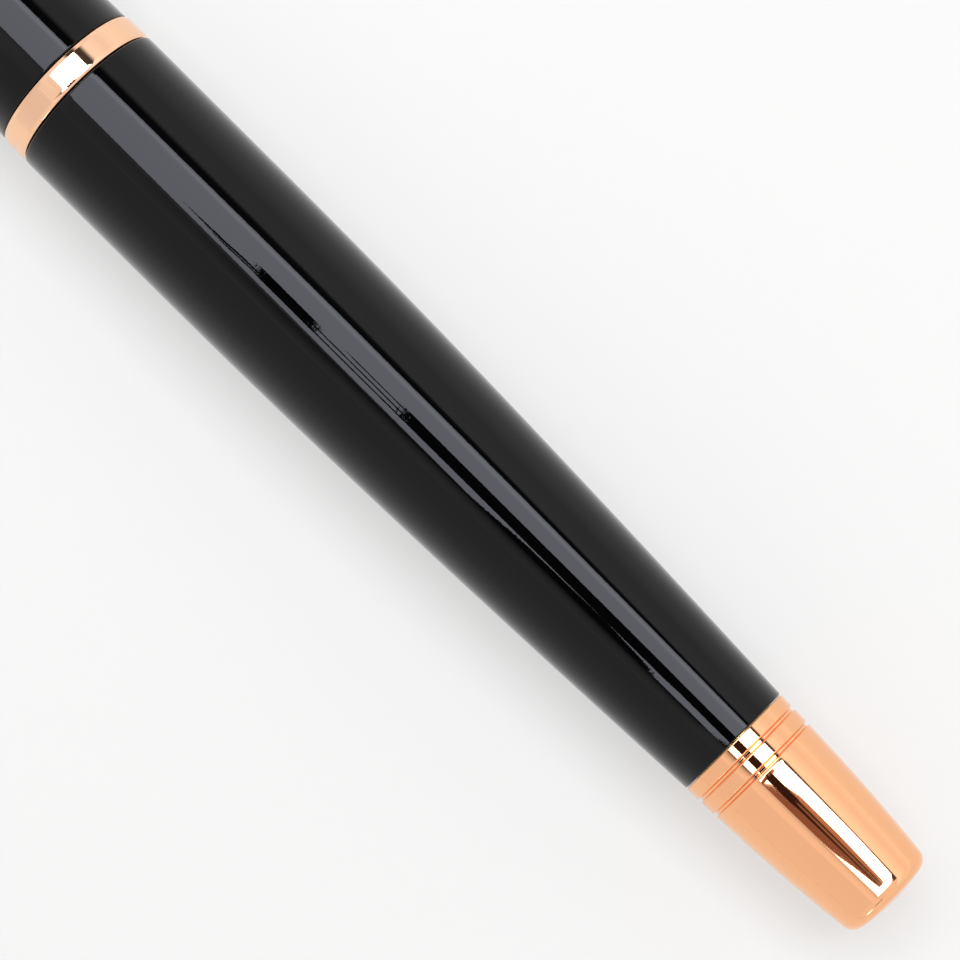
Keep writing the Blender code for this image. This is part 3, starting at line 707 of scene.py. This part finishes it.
def build_cap(looks):
    """Cap tube, lip ring, liner, insert, clip collar, stud and finial."""
    rear, front, radius = ends("cap_tube")
    step = ends("cap_lip_ring")[1] + CAP_GAP
    outer = [(rear, CAP_SPIGOT, SMALL_EDGE), (step, CAP_SPIGOT, HAIR_EDGE)]
    outer += [(step, radius, ROUND_EDGE)]
    outer += hermite(
        (step + CAP_EASE, radius, CAP_SLOPE_REAR),
        (front - CAP_EASE, CAP_TOP_EASED, CAP_SLOPE_TOP),
        CAP_STEPS,
    )
    outer += [(front, CAP_TOP, ROUND_EDGE)]
    inner = [(rear, CAP_BORE_REAR, SMALL_EDGE)] + CAP_BORE + [(front, CAP_BORE_TOP, SMALL_EDGE)]
    turned("cap_tube", "cap", looks["lacquer"], outer, inner)

    rear, front, radius = ends("cap_lip_ring")
    outer = []
    for turn in LIP_TURNS:
        station = rear + LIP_ROUND_LENGTH - LIP_ROUND_LENGTH * math.cos(turn)
        outer.append((station, radius - LIP_ROUND_DEPTH + LIP_ROUND_DEPTH * math.sin(turn)))
    outer += [(rear + LIP_FLAT_START, radius)]
    outer += [(front - back, radius - inward, edge) for back, inward, edge in LIP_CHAMFER]
    outer += [(front, radius - LIP_CHAMFER_END)]
    inner = [(rear, LIP_BORE, FINE_EDGE), (front, LIP_BORE, FINE_EDGE)]
    # The lip ring wears the paler copy of the rose gold, painted light
    turned("cap_lip_ring", "cap", looks["ring_gold_painted_light"], outer, inner)

    rear, front, radius = ends("cap_liner")
    outer = [(rear, radius, THIN_EDGE)] + LINER_OUTER
    outer += [(front, LINER_TOP, ROUND_EDGE), (front, 0.0)]
    inner = [(rear, LINER_MOUTH, FINE_EDGE)] + LINER_BORE
    look = looks["black_plastic"]
    turned("cap_liner", "cap", look, outer, inner, TURNS_SMALL)

    outer, inner = tube_ends(*ends("cap_insert"), STUD_HOLE, SMALL_EDGE)
    turned("cap_insert", "cap", looks["brass"], outer, inner, TURNS_SMALL)

    outer, inner = tube_ends(*ends("clip_collar"), COLLAR_BORE, RIM_EDGE)
    turned("clip_collar", "cap", looks["rose_gold"], outer, inner)

    outer = rod_line(*ends("finial_stud"), SOFT_EDGE, SOFT_EDGE)
    turned("finial_stud", "cap", looks["brass"], outer, [], TURNS_TINY)

    rear, front = ends("cap_finial")[:2]
    line = end_cap_line(CAP_SIDE_TOP)
    line += hermite(CAP_SIDE_TOP, CAP_SIDE_REAR, CAP_SIDE_STEPS)[1:]
    line += band_line(CAP_GROOVES, front - rear, *CAP_BANDS)
    outer = [(front - point[0], *point[1:]) for point in line][::-1]
    inner = [(rear, STUD_HOLE, FINE_EDGE), (STUD_HOLE_TOP, STUD_HOLE, FINE_EDGE)]
    inner += [(STUD_HOLE_TOP, 0.0)]
    turned("cap_finial", "cap", looks["rose_gold"], outer, inner)


def clip_line():
    """Underside of the clip as (station, height above the axis), root to tip."""
    bend, height = CLIP_BEND[:2]
    low, high = CLIP_ROOT_HEIGHTS
    root = bend + CLIP_BEND_RADIUS
    line = straight((root, low), (root, high), CLIP_ROOT_STEPS)
    line += arc((bend, height - CLIP_BEND_RADIUS), CLIP_BEND_RADIUS, 0, 90, CLIP_BEND_STEPS)
    line += hermite(CLIP_BEND, CLIP_KNEE, CLIP_ARM_STEPS)[1:]
    line += hermite(CLIP_KNEE, CLIP_CONTACT, CLIP_KNEE_STEPS)[1:]
    return line + hermite(CLIP_CONTACT, CLIP_TIP, CLIP_TIP_STEPS)[1:]


def clip_section(half_width):
    """Cross-section of the clip: crowned above and below alike, round edges; (across, up)."""
    edge = CLIP_THICKNESS * CLIP_EDGE_SHARE
    flat = half_width - edge
    middle = (CLIP_THICKNESS - CLIP_CROWN) / 2 + CLIP_CROWN / 4
    bulge = CLIP_THICKNESS / 2 * CLIP_EDGE_FULLNESS
    points = []
    for side, level in ((1, CLIP_THICKNESS - CLIP_CROWN), (-1, -CLIP_CROWN / 2)):
        for step in range(CLIP_COLUMNS + 1):
            across = side * (2 * step / CLIP_COLUMNS - 1)
            points.append((across * flat, level + CLIP_CROWN * (1 - across**2)))
        for step in range(1, CLIP_EDGE_STEPS):
            angle = math.radians(90 * side - 180 * step / CLIP_EDGE_STEPS)
            points.append((side * flat + edge * math.cos(angle), middle + bulge * math.sin(angle)))
    return points


def build_clip(looks):
    """Sprung sheet clip, tapering to a rounded tip that rests just off the cap."""
    joint = next(j for j in frame["joints"] if j["name"] == "clip_flex")
    across_axis = Vector(joint["axis"]).normalized()
    along_axis = Vector((1, 0, 0))
    up_axis = along_axis.cross(across_axis)
    tip, bend = CLIP_TIP[0], CLIP_BEND[0]
    line = clip_line()
    source = bmesh.new()
    rings = []
    for index, (station, height) in enumerate(line):
        before = Vector(line[max(index - 1, 0)])
        after = Vector(line[min(index + 1, len(line) - 1)])
        tangent = (after - before).normalized()
        share = min((station - tip) / (bend - tip), 1)
        half_width = CLIP_TIP_HALF_WIDTH + (CLIP_ROOT_HALF_WIDTH - CLIP_TIP_HALF_WIDTH) * share
        to_tip = station - tip
        if to_tip < half_width:
            roundness = math.sqrt(max(0.0, 1 - (1 - to_tip / half_width) ** 2))
            half_width *= max(CLIP_TIP_BLUNTNESS, roundness)
        ring = []
        for across, up in clip_section(half_width):
            place = (
                along_axis * (station + tangent.y * up)
                + up_axis * (height - tangent.x * up)
                + across_axis * across
            )
            ring.append(source.verts.new(place * MM))
        rings.append(ring)
    join_rings(source, rings)
    make_object("clip_skin", source, "clip", "clip_arm", looks["rose_gold"])


# ---------------------------------------------------------------- materials

ROSE_GOLD = (0.98, 0.505, 0.26)
# The ring's gold is a paler copy of the rose gold: painted light, for the brighter light the ring
# catches
RING_GOLD_PAINTED_LIGHT = (1.0, 0.615, 0.39)
LACQUER = (0.0006, 0.0006, 0.0007)
LACQUER_CLOUDS = ((0.0004, 0.0004, 0.0005), (0.0009, 0.0009, 0.001))
BRASS = (0.75, 0.52, 0.2)
BRASS_CLOUDS = ((0.58, 0.38, 0.13), (0.83, 0.62, 0.28))
FIBRE = (0.03, 0.04, 0.16)
FIBRE_STRANDS = ((0.008, 0.01, 0.05), (0.06, 0.08, 0.3))

# Heights of surface grain, in metres
LACQUER_PEEL = 0.0000013
LACQUER_RIPPLE = 0.000006
GOLD_LINES = 0.000000018
GOLD_DENTS = 0.0000012
BRASS_LINES = 0.000002
STEEL_LINES = 0.000001
PLASTIC_GRAIN = 0.000008
FIBRE_GRAIN = 0.00003


class Recipe:
    """A small helper that adds shader nodes to one material."""

    def __init__(self, name, colour, roughness, metallic=0.0):
        self.material = bpy.data.materials.new(name)
        self.material.use_nodes = True
        self.tree = self.material.node_tree
        self.shader = self.tree.nodes["Principled BSDF"]
        self.set("Base Color", (*colour, 1.0))
        self.set("Roughness", roughness)
        self.set("Metallic", metallic)
        self.place = self.tree.nodes.new("ShaderNodeTexCoord").outputs["Object"]

    def set(self, socket, value):
        """Give one of the shader's own sockets a constant."""
        self.shader.inputs[socket].default_value = value

    def feed(self, socket, source):
        """Link a value to one of the shader's own sockets."""
        self.link(source, self.shader.inputs[socket])

    def link(self, source, target):
        self.tree.links.new(source, target)

    def stretched(self, scale):
        """Object coordinates scaled apart along and across the pen."""
        mapping = self.tree.nodes.new("ShaderNodeMapping")
        mapping.inputs["Scale"].default_value = scale
        self.link(self.place, mapping.inputs["Vector"])
        return mapping.outputs["Vector"]

    def noise(self, scale, detail=3.0, rough=0.5):
        """Noise from 0 to 1; scale is a triple in cycles per metre."""
        noise = self.tree.nodes.new("ShaderNodeTexNoise")
        noise.inputs["Scale"].default_value = 1.0
        noise.inputs["Detail"].default_value = detail
        noise.inputs["Roughness"].default_value = rough
        self.link(self.stretched(scale), noise.inputs["Vector"])
        return noise.outputs["Fac"]

    def ramp(self, value, low, high, start=0.0, end=1.0):
        """Map value from the span start..end to low..high."""
        span = self.tree.nodes.new("ShaderNodeMapRange")
        span.inputs["From Min"].default_value = start
        span.inputs["From Max"].default_value = end
        span.inputs["To Min"].default_value = low
        span.inputs["To Max"].default_value = high
        self.link(value, span.inputs["Value"])
        return span.outputs["Result"]

    def add(self, first, second):
        """The sum of two values."""
        step = self.tree.nodes.new("ShaderNodeMath")
        step.operation = "ADD"
        self.link(first, step.inputs[0])
        self.link(second, step.inputs[1])
        return step.outputs["Value"]

    def mix(self, share, first, second):
        """Blend two colours by share."""
        blend = self.tree.nodes.new("ShaderNodeMix")
        blend.data_type = "RGBA"
        blend.inputs["A"].default_value = (*first, 1.0)
        blend.inputs["B"].default_value = (*second, 1.0)
        self.link(share, blend.inputs["Factor"])
        return blend.outputs["Result"]

    def bump(self, height, distance, below=None):
        """Raise the surface by height times distance in metres."""
        bump = self.tree.nodes.new("ShaderNodeBump")
        bump.inputs["Distance"].default_value = distance
        bump.inputs["Strength"].default_value = 1.0
        self.link(height, bump.inputs["Height"])
        if below is not None:
            self.link(below, bump.inputs["Normal"])
        self.feed("Normal", bump.outputs["Normal"])
        return bump.outputs["Normal"]


def scaled(colour, factor):
    """A colour made darker or lighter by one factor."""
    return tuple(factor * part for part in colour)


def lacquer_look():
    """Deep black gloss lacquer: slight polishing ripple, fine orange peel, faint hairlines."""
    look = Recipe("black_lacquer", LACQUER, roughness=0.01)
    look.set("IOR", 1.7)
    look.set("Specular IOR Level", 0.14)
    haze = look.noise((60, 90, 90), detail=2.0)
    hairline = look.noise((150, 4500, 4500), detail=2.0, rough=0.6)
    scratch = look.ramp(hairline, low=0.0, high=0.015, start=0.62, end=0.7)
    look.feed("Roughness", look.add(look.ramp(haze, low=0.008, high=0.02), scratch))
    look.feed("Base Color", look.mix(haze, *LACQUER_CLOUDS))
    peel = look.bump(look.noise((2600, 2000, 2000), rough=0.6), LACQUER_PEEL)
    ripple = look.bump(look.noise((60, 300, 300), detail=1.0), LACQUER_RIPPLE, peel)
    slant = look.tree.nodes.new("ShaderNodeLayerWeight").outputs["Facing"]
    look.feed("Coat Weight", look.ramp(slant, low=0.0, high=0.3, start=0.04, end=0.5))
    look.feed("Coat Normal", ripple)
    look.set("Coat IOR", 1.3)
    look.set("Coat Roughness", 0.015)
    return look.material


def gold_look(name, colour):
    """Polished gold plating: even colour, faint turning lines and small marks."""
    look = Recipe(name, colour, roughness=0.06, metallic=1.0)
    cloud = look.noise((120, 160, 160), detail=2.0)
    look.feed("Base Color", look.mix(cloud, scaled(colour, 0.97), colour))
    lines = look.noise((7000, 60, 60), detail=2.0, rough=0.6)
    look.feed("Roughness", look.ramp(lines, low=0.02, high=0.06))
    fine = look.bump(lines, GOLD_LINES)
    look.bump(look.noise((200, 400, 400), detail=2.0), GOLD_DENTS, fine)
    return look.material


def brass_look():
    """Machined brass: turning lines, uneven tarnish."""
    look = Recipe("machined_brass", BRASS, roughness=0.3, metallic=1.0)
    tarnish = look.noise((180, 260, 260), detail=4.0, rough=0.6)
    look.feed("Base Color", look.mix(tarnish, *BRASS_CLOUDS))
    lines = look.noise((12000, 80, 80), rough=0.7)
    look.feed("Roughness", look.ramp(lines, low=0.16, high=0.36))
    look.bump(lines, BRASS_LINES)
    return look.material


def steel_look(name, colour, roughness):
    """Drawn or ground steel with fine lines along its length."""
    look = Recipe(name, colour, roughness, metallic=1.0)
    tint = look.noise((200, 300, 300))
    look.feed("Base Color", look.mix(tint, scaled(colour, 0.82), colour))
    lines = look.noise((300, 7000, 7000), rough=0.7)
    look.feed("Roughness", look.ramp(lines, low=roughness * 0.7, high=roughness * 1.4))
    look.bump(lines, STEEL_LINES)
    return look.material


def plastic_look(name, colour, roughness):
    """Moulded plastic with a fine spark-eroded grain."""
    look = Recipe(name, colour, roughness)
    grain = look.noise((5000, 5000, 5000), rough=0.6)
    shade = look.noise((150, 150, 150), detail=2.0)
    lighter = tuple(min(1.0, 1.25 * part + 0.004) for part in colour)
    look.feed("Base Color", look.mix(shade, colour, lighter))
    look.feed("Roughness", look.ramp(grain, low=roughness * 0.8, high=roughness * 1.25))
    look.bump(grain, PLASTIC_GRAIN)
    return look.material


def fibre_look():
    """Ink-soaked fibre rod: bundled strands along the pen."""
    look = Recipe("ink_fibre", FIBRE, roughness=0.85)
    strands = look.noise((200, 6000, 6000), detail=4.0, rough=0.7)
    look.feed("Base Color", look.mix(strands, *FIBRE_STRANDS))
    look.bump(strands, FIBRE_GRAIN)
    return look.material


def make_looks():
    """Every finish on the pen."""
    return {
        "lacquer": lacquer_look(),
        "rose_gold": gold_look("rose_gold", ROSE_GOLD),
        # The ring's paler gold is painted light, a lit copy of the rose gold
        "ring_gold_painted_light": gold_look("ring_gold_painted_light", RING_GOLD_PAINTED_LIGHT),
        "brass": brass_look(),
        "steel": steel_look("spring_steel", (0.62, 0.61, 0.6), roughness=0.22),
        "refill_steel": steel_look("refill_steel", (0.66, 0.65, 0.64), roughness=0.3),
        "carbide": steel_look("carbide", (0.4, 0.4, 0.42), roughness=0.12),
        "black_plastic": plastic_look("black_plastic", (0.012, 0.012, 0.013), roughness=0.38),
        "white_plastic": plastic_look("white_plastic", (0.72, 0.72, 0.7), roughness=0.42),
        "rubber": plastic_look("seal_rubber", (0.014, 0.014, 0.015), roughness=0.7),
        "fibre": fibre_look(),
    }


# ---------------------------------------------------------------- studio

WHITE = (1.0, 1.0, 1.0)
WORLD_LIGHT = 0.98

# Floor; its half width and its gap below the pen are in metres
FLOOR_HALF = 4.0
FLOOR_GAP = 0.00002
FLOOR_TONE = (0.298, 0.291, 0.268)
FLOOR_MOTTLE = 0.985
FLOOR_GLOW = 0.486

# Tent and softbox, in millimetres
TENT_TINT = (1.0, 0.98, 1.01)
TENT_RADIUS = 2500.0
TENT_FRONT = 900.0
TENT_TAIL = -300.0
TENT_LAST = -840.0
TENT_FADE = 140.0
TENT_BEYOND_LIGHT = 0.95
TENT_END = 4000.0
SOFTBOX_LIGHT = 5.75
SOFTBOX_TINT = (0.955, 1.0, 1.12)
SOFTBOX_HEIGHT = 900.0

# Tent rows: angle from overhead (positive towards +Y) at the front and tail, and how bright each is
TENT_ROWS = (
    (-91, -91, 1.08, 1.16),
    (-80, -80, 1.0, 1.06),
    (-70, -70, 0.92, 1.0),
    (-60, -60, 0.98, 1.12),
    (-50, -47, 1.02, 1.3),
    (-46, -41.5, 0.75, 1.3),
    (-41, -39.3, 0.06, 0.08),
    (-28, -33, 0.05, 0.05),
    (-20, -26, 1.0, 1.0),
    (9, 14, 1.0, 0.65),
    (13, 18, 0.95, 0.68),
    (24, 24, 0.95, 0.95),
    (33, 33, 0.93, 1.02),
    (37, 37, 0.8, 0.9),
    (60, 60, 0.78, 0.9),
    (91, 91, 0.86, 0.92),
)

# Softbox edges: station, then the angles of its near and far edges
SOFTBOX_STATIONS = (
    (620.0, 10.0, -29.0),
    (300.0, 12.2, -31.7),
    (170.0, 13.7, -33.7),
    (40.0, 16.2, -35.0),
    (-85.0, 17.2, -36.1),
    (-230.0, 17.0, -38.0),
    (-290.0, 17.0, -37.0),
    (-310.0, 18.5, -30.0),
)
# Softbox brightness at shares of the way from the far edge to the near edge
SOFTBOX_ROWS = (
    (0.0, 0.95),
    (0.05, 1.08),
    (0.09, 1.38),
    (0.14, 1.34),
    (0.19, 1.1),
    (0.26, 1.0),
    (1.0, 0.98),
)

# Strip light beyond the tail and the dark stand beside it, which glows faintly with painted dim
# light
STRIP_LIGHT = (5.0, 5.0, 5.0)
STRIP_CORNERS = ((-740, 470, 230), (-700, 560, 190), (-670, 660, 20), (-720, 600, 20))
STAND_PAINTED_DIM_LIGHT = (0.03, 0.03, 0.03)
STAND_CORNERS = ((-690, 180, 500), (-740, 180, 450), (-740, 420, 330), (-700, 440, 360))

# The camera and its stand, flat at one height; corners are (station, side)
RIG_HEIGHT = 305.0
RIG_COVER_GAP = 3
RIG_SHADE_GAP = 8
BLACK = (0.022, 0.021, 0.021)
# Glow of the stand's cards, painted light: lit brown stand, dimmer brown, and the camera's dim
# rear; the black cards are plain black
BROWN_PAINTED_LIGHT = (0.52, 0.31, 0.24)
DARK_BROWN_PAINTED_LIGHT = (0.27, 0.14, 0.11)
DUSK_PAINTED_LIGHT = (0.035, 0.018, 0.015)
RIG_CARDS = (
    ("rig_body", "black", ((64, -41), (64, 40), (-2, 40), (-2, -44))),
    # The camera's rear glows with painted dim light
    ("rig_rear", "dusk", ((-2, -42), (-2, 34), (-31, 34), (-31, -44))),
    ("rig_lobe", "black", ((46, 93), (32, 52), (12, 39), (2, 60), (0, 93))),
    ("rig_clamp", "black", ((87, -26), (87, 42), (104, 42), (104, -26))),
)
# The upper card glows with painted brown light, the lower one with dimmer painted brown light
RIG_UPPER = ((-22, -45), (-31, -79), (-56, -84), (-85, -73), (-85, 8), (-32, 24), (-19, 24))
RIG_LOWER = ((-13, 99), (-18, 24), (-32, 24), (-85, 8), (-71, 47), (-61, 93))

# Bars of the stand: start, end and half width
RIG_BARS = (
    ("rig_bar_1", (60, 5), (92, 5), 4.6),
    ("rig_bar_2", (60, 35), (92, 35), 4.8),
    ("rig_bar_3", (60, -26), (79, -26), 4.0),
    ("rig_bar_4", (103, 14), (119, 36), 4.0),
    ("rig_bar_5", (103, 30), (115, 44), 3.2),
)

# Two dark rods of the stand, drawn as painted dark lines in a sheet of painted brown light: side at
# the front and tail, then brightness front, middle, tail
RIG_ROD_STATIONS = (-31, -55, -84.5)
RIG_ROD_MIDDLE = 0.47
RIG_ROD_ROWS = (
    (-45.0, -52.0, 1.0, 1.0, 1.0),
    (-36.0, -45.0, 0.5, 0.75, 0.9),
    (-28.5, -37.5, 0.02, 0.06, 0.2),
    (-21.0, -29.0, 0.06, 0.25, 0.38),
    (-8.0, -17.0, 0.6, 0.85, 0.55),
    (0.0, -11.0, 0.25, 0.45, 0.42),
    (6.0, -7.0, 0.06, 0.18, 0.32),
    (14.0, -1.5, 0.01, 0.06, 0.25),
    (21.0, 5.0, 0.06, 0.12, 0.3),
    (28.0, 9.5, 0.3, 0.36, 0.38),
)

# Soft edge of the rig's shadow: side, then brightness near, middle and far along the pen
RIG_SHADE_STATIONS = (-12, 56, 94, 175)
RIG_SHADE_ROWS = (
    (93, 0.02, 0.3, 1.0),
    (103, 0.15, 0.33, 1.1),
    (117, 0.42, 0.38, 1.12),
    (136, 0.68, 0.5, 1.08),
    (160, 0.86, 0.7, 1.0),
    (196, 0.98, 0.93, 0.93),
)


def stage_object(name, mesh_source, material):
    """A piece of the studio, which isn't part of the pen."""
    mesh = bpy.data.meshes.new(name)
    mesh_source.to_mesh(mesh)
    mesh_source.free()
    mesh.materials.append(material)
    piece = bpy.data.objects.new(name, mesh)
    bpy.context.scene.collection.objects.link(piece)
    return piece


def glow(name, colour):
    """A plain emitting material."""
    material = bpy.data.materials.new(name)
    material.use_nodes = True
    nodes = material.node_tree.nodes
    nodes.clear()
    emission = nodes.new("ShaderNodeEmission")
    emission.inputs["Color"].default_value = (*colour, 1.0)
    output = nodes.new("ShaderNodeOutputMaterial")
    material.node_tree.links.new(emission.outputs["Emission"], output.inputs["Surface"])
    return material


def glow_sheet(name, grid, tint):
    """An emitting sheet; grid holds rows of (corner in millimetres, strength)."""
    source = bmesh.new()
    layer = source.verts.layers.float_color.new("glow")
    rows = []
    for row in grid:
        corners = []
        for corner, strength in row:
            vertex = source.verts.new(Vector(corner) * MM)
            vertex[layer] = (*(strength * part for part in tint), 1.0)
            corners.append(vertex)
        rows.append(corners)
    for first, second in zip(rows, rows[1:]):
        for index in range(len(first) - 1):
            source.faces.new((first[index], first[index + 1], second[index + 1], second[index]))
    material = glow(name + "_light", WHITE)
    nodes = material.node_tree.nodes
    shade = nodes.new("ShaderNodeVertexColor")
    shade.layer_name = "glow"
    material.node_tree.links.new(shade.outputs["Color"], nodes["Emission"].inputs["Color"])
    stage_object(name, source, material)


def sheet_mesh(corners):
    """One flat sheet from its corners in millimetres."""
    source = bmesh.new()
    source.faces.new([source.verts.new(Vector(corner) * MM) for corner in corners])
    return source


def build_floor():
    """Pale, softly back-lit floor just under the pen."""
    source = bmesh.new()
    bmesh.ops.create_grid(source, x_segments=2, y_segments=2, size=FLOOR_HALF)
    look = Recipe("floor_sheet", FLOOR_TONE, roughness=0.9)
    look.set("Specular IOR Level", 0.0)
    look.set("Emission Color", (*WHITE, 1.0))
    look.set("Emission Strength", FLOOR_GLOW)
    grain = look.noise((400, 400, 400))
    look.feed("Base Color", look.mix(grain, scaled(FLOOR_TONE, FLOOR_MOTTLE), FLOOR_TONE))
    floor = stage_object("floor", source, look.material)
    floor.location = (CAMERA_FOOT * MM, 0.0, CAD_BOX[0][2] - FLOOR_GAP)


def overhead(station, angle_deg, height):
    """A point at the given height, seen from the pen at an angle from overhead."""
    return Vector((station, math.tan(math.radians(angle_deg)) * height, height))


def build_tent():
    """Soft surround: a half tube of glowing cloth, dark on both sides of the overhead softbox."""
    world = bpy.data.worlds.new("tent_ends")
    bpy.context.scene.world = world
    world.use_nodes = True
    backdrop = world.node_tree.nodes["Background"]
    backdrop.inputs["Color"].default_value = (*WHITE, 1.0)
    backdrop.inputs["Strength"].default_value = WORLD_LIGHT
    grid = []
    for front_deg, tail_deg, front_light, tail_light in TENT_ROWS:
        row = []
        beyond_light = max(tail_light, TENT_BEYOND_LIGHT)
        stops = (
            (TENT_END, front_deg, front_light),
            (TENT_FRONT, front_deg, front_light),
            (TENT_TAIL, tail_deg, tail_light),
            (TENT_LAST, tail_deg, tail_light),
            (TENT_LAST - TENT_FADE, tail_deg, beyond_light),
            (-TENT_END, tail_deg, beyond_light),
        )
        for station, angle_deg, strength in stops:
            angle = math.radians(angle_deg)
            corner = (station, TENT_RADIUS * math.sin(angle), TENT_RADIUS * math.cos(angle))
            row.append((corner, strength))
        grid.append(row)
    glow_sheet("tent", grid, TENT_TINT)


def build_softbox():
    """Long overhead softbox with a brighter strip along its far edge."""
    grid = []
    for station, near_deg, far_deg in SOFTBOX_STATIONS:
        near = overhead(station, near_deg, SOFTBOX_HEIGHT)
        far = overhead(station, far_deg, SOFTBOX_HEIGHT)
        row = [(far.lerp(near, share), SOFTBOX_LIGHT * light) for share, light in SOFTBOX_ROWS]
        grid.append(row)
    glow_sheet("softbox", grid, SOFTBOX_TINT)


def build_end_light():
    """A low strip light beyond the tail, and the dark stand beside it, which glows faintly with
    painted dim light.
    """
    strip = glow("strip_light", STRIP_LIGHT)
    stage_object("end_strip", sheet_mesh(STRIP_CORNERS), strip)
    # The stand glows faintly: painted dim light
    dark = glow("stand_painted_dim_light", STAND_PAINTED_DIM_LIGHT)
    stage_object("end_stand", sheet_mesh(STAND_CORNERS), dark)


def rig_card(name, corners, material, height=RIG_HEIGHT):
    """A flat part of the camera stand above the camera; corners are (station, side)."""
    stage_object(name, sheet_mesh([(x, y, height) for x, y in corners]), material)


def build_rig():
    """The camera and its stand, which the lacquer and the plating reflect; the brown, dark brown
    and dusk cards and the rods glow with painted light in place of the lit stand.
    """
    cloth = Recipe("black_card", BLACK, roughness=0.9)
    cloth.set("Specular IOR Level", 0.0)
    black = cloth.material
    # Painted light: emitting cards in place of the lit brown stand and the camera's dim rear
    brown_painted_light = glow("brown_painted_light_card", BROWN_PAINTED_LIGHT)
    dark_brown_painted_light = glow("dark_brown_painted_light_card", DARK_BROWN_PAINTED_LIGHT)
    tones = {"black": black, "dusk": glow("dusk_painted_light_card", DUSK_PAINTED_LIGHT)}
    for name, tone, corners in RIG_CARDS:
        rig_card(name, corners, tones[tone])
    for name, start, end, half_width in RIG_BARS:
        start, end = Vector(start), Vector(end)
        across = (end - start).orthogonal().normalized() * half_width
        rig_card(name, (start - across, end - across, end + across, start + across), black)
    rods = []
    for front_side, tail_side, *lights in RIG_ROD_ROWS:
        middle_side = (1 - RIG_ROD_MIDDLE) * front_side + RIG_ROD_MIDDLE * tail_side
        places = zip(RIG_ROD_STATIONS, (front_side, middle_side, tail_side), lights)
        rods.append([((x, y, RIG_HEIGHT), light) for x, y, light in places])
    # The rods glow with painted brown light and painted dark lines, darker towards the front
    glow_sheet("rig_rods", rods, BROWN_PAINTED_LIGHT)
    rig_card("rig_upper", RIG_UPPER, brown_painted_light, RIG_HEIGHT + RIG_COVER_GAP)
    rig_card("rig_lower", RIG_LOWER, dark_brown_painted_light, RIG_HEIGHT + RIG_COVER_GAP)
    shade = []
    for side, near, middle, far in RIG_SHADE_ROWS:
        places = zip(RIG_SHADE_STATIONS, (near, near, middle, far))
        shade.append([((x, side, RIG_HEIGHT + RIG_SHADE_GAP), light) for x, light in places])
    glow_sheet("rig_shade", shade, TENT_TINT)


def build_camera():
    """Camera above the tail, tilted towards the cap and rolled to lay the pen on the diagonal."""
    eye = Vector((CAMERA_FOOT, CAMERA_SIDE, CAMERA_HEIGHT)) * MM
    target = Vector((CAMERA_AIM, CAMERA_SIDE, 0.0)) * MM
    look = (target - eye).normalized()
    across = Vector((0.0, 1.0, 0.0))
    along = across.cross(-look)
    along = along if along.x > 0 else -along
    right = -math.cos(PEN_SLANT) * along - math.sin(PEN_SLANT) * across
    up = math.sin(PEN_SLANT) * along - math.cos(PEN_SLANT) * across
    data = bpy.data.cameras.new("camera")
    data.lens = CAMERA_LENS
    data.sensor_width = CAMERA_SENSOR
    data.clip_start, data.clip_end = CAMERA_RANGE
    camera = bpy.data.objects.new("camera", data)
    bpy.context.scene.collection.objects.link(camera)
    turn = Matrix((right, up, -look)).transposed()
    camera.matrix_world = Matrix.Translation(eye) @ turn.to_4x4()
    bpy.context.scene.camera = camera


bpy.context.scene.view_settings.view_transform = "Standard"
build_camera()
build_floor()
build_tent()
build_softbox()
build_end_light()
build_rig()
finishes = make_looks()
build_barrel(finishes)
build_spring(finishes)
build_refill(finishes)
build_section(finishes)
build_cap(finishes)
build_clip(finishes)
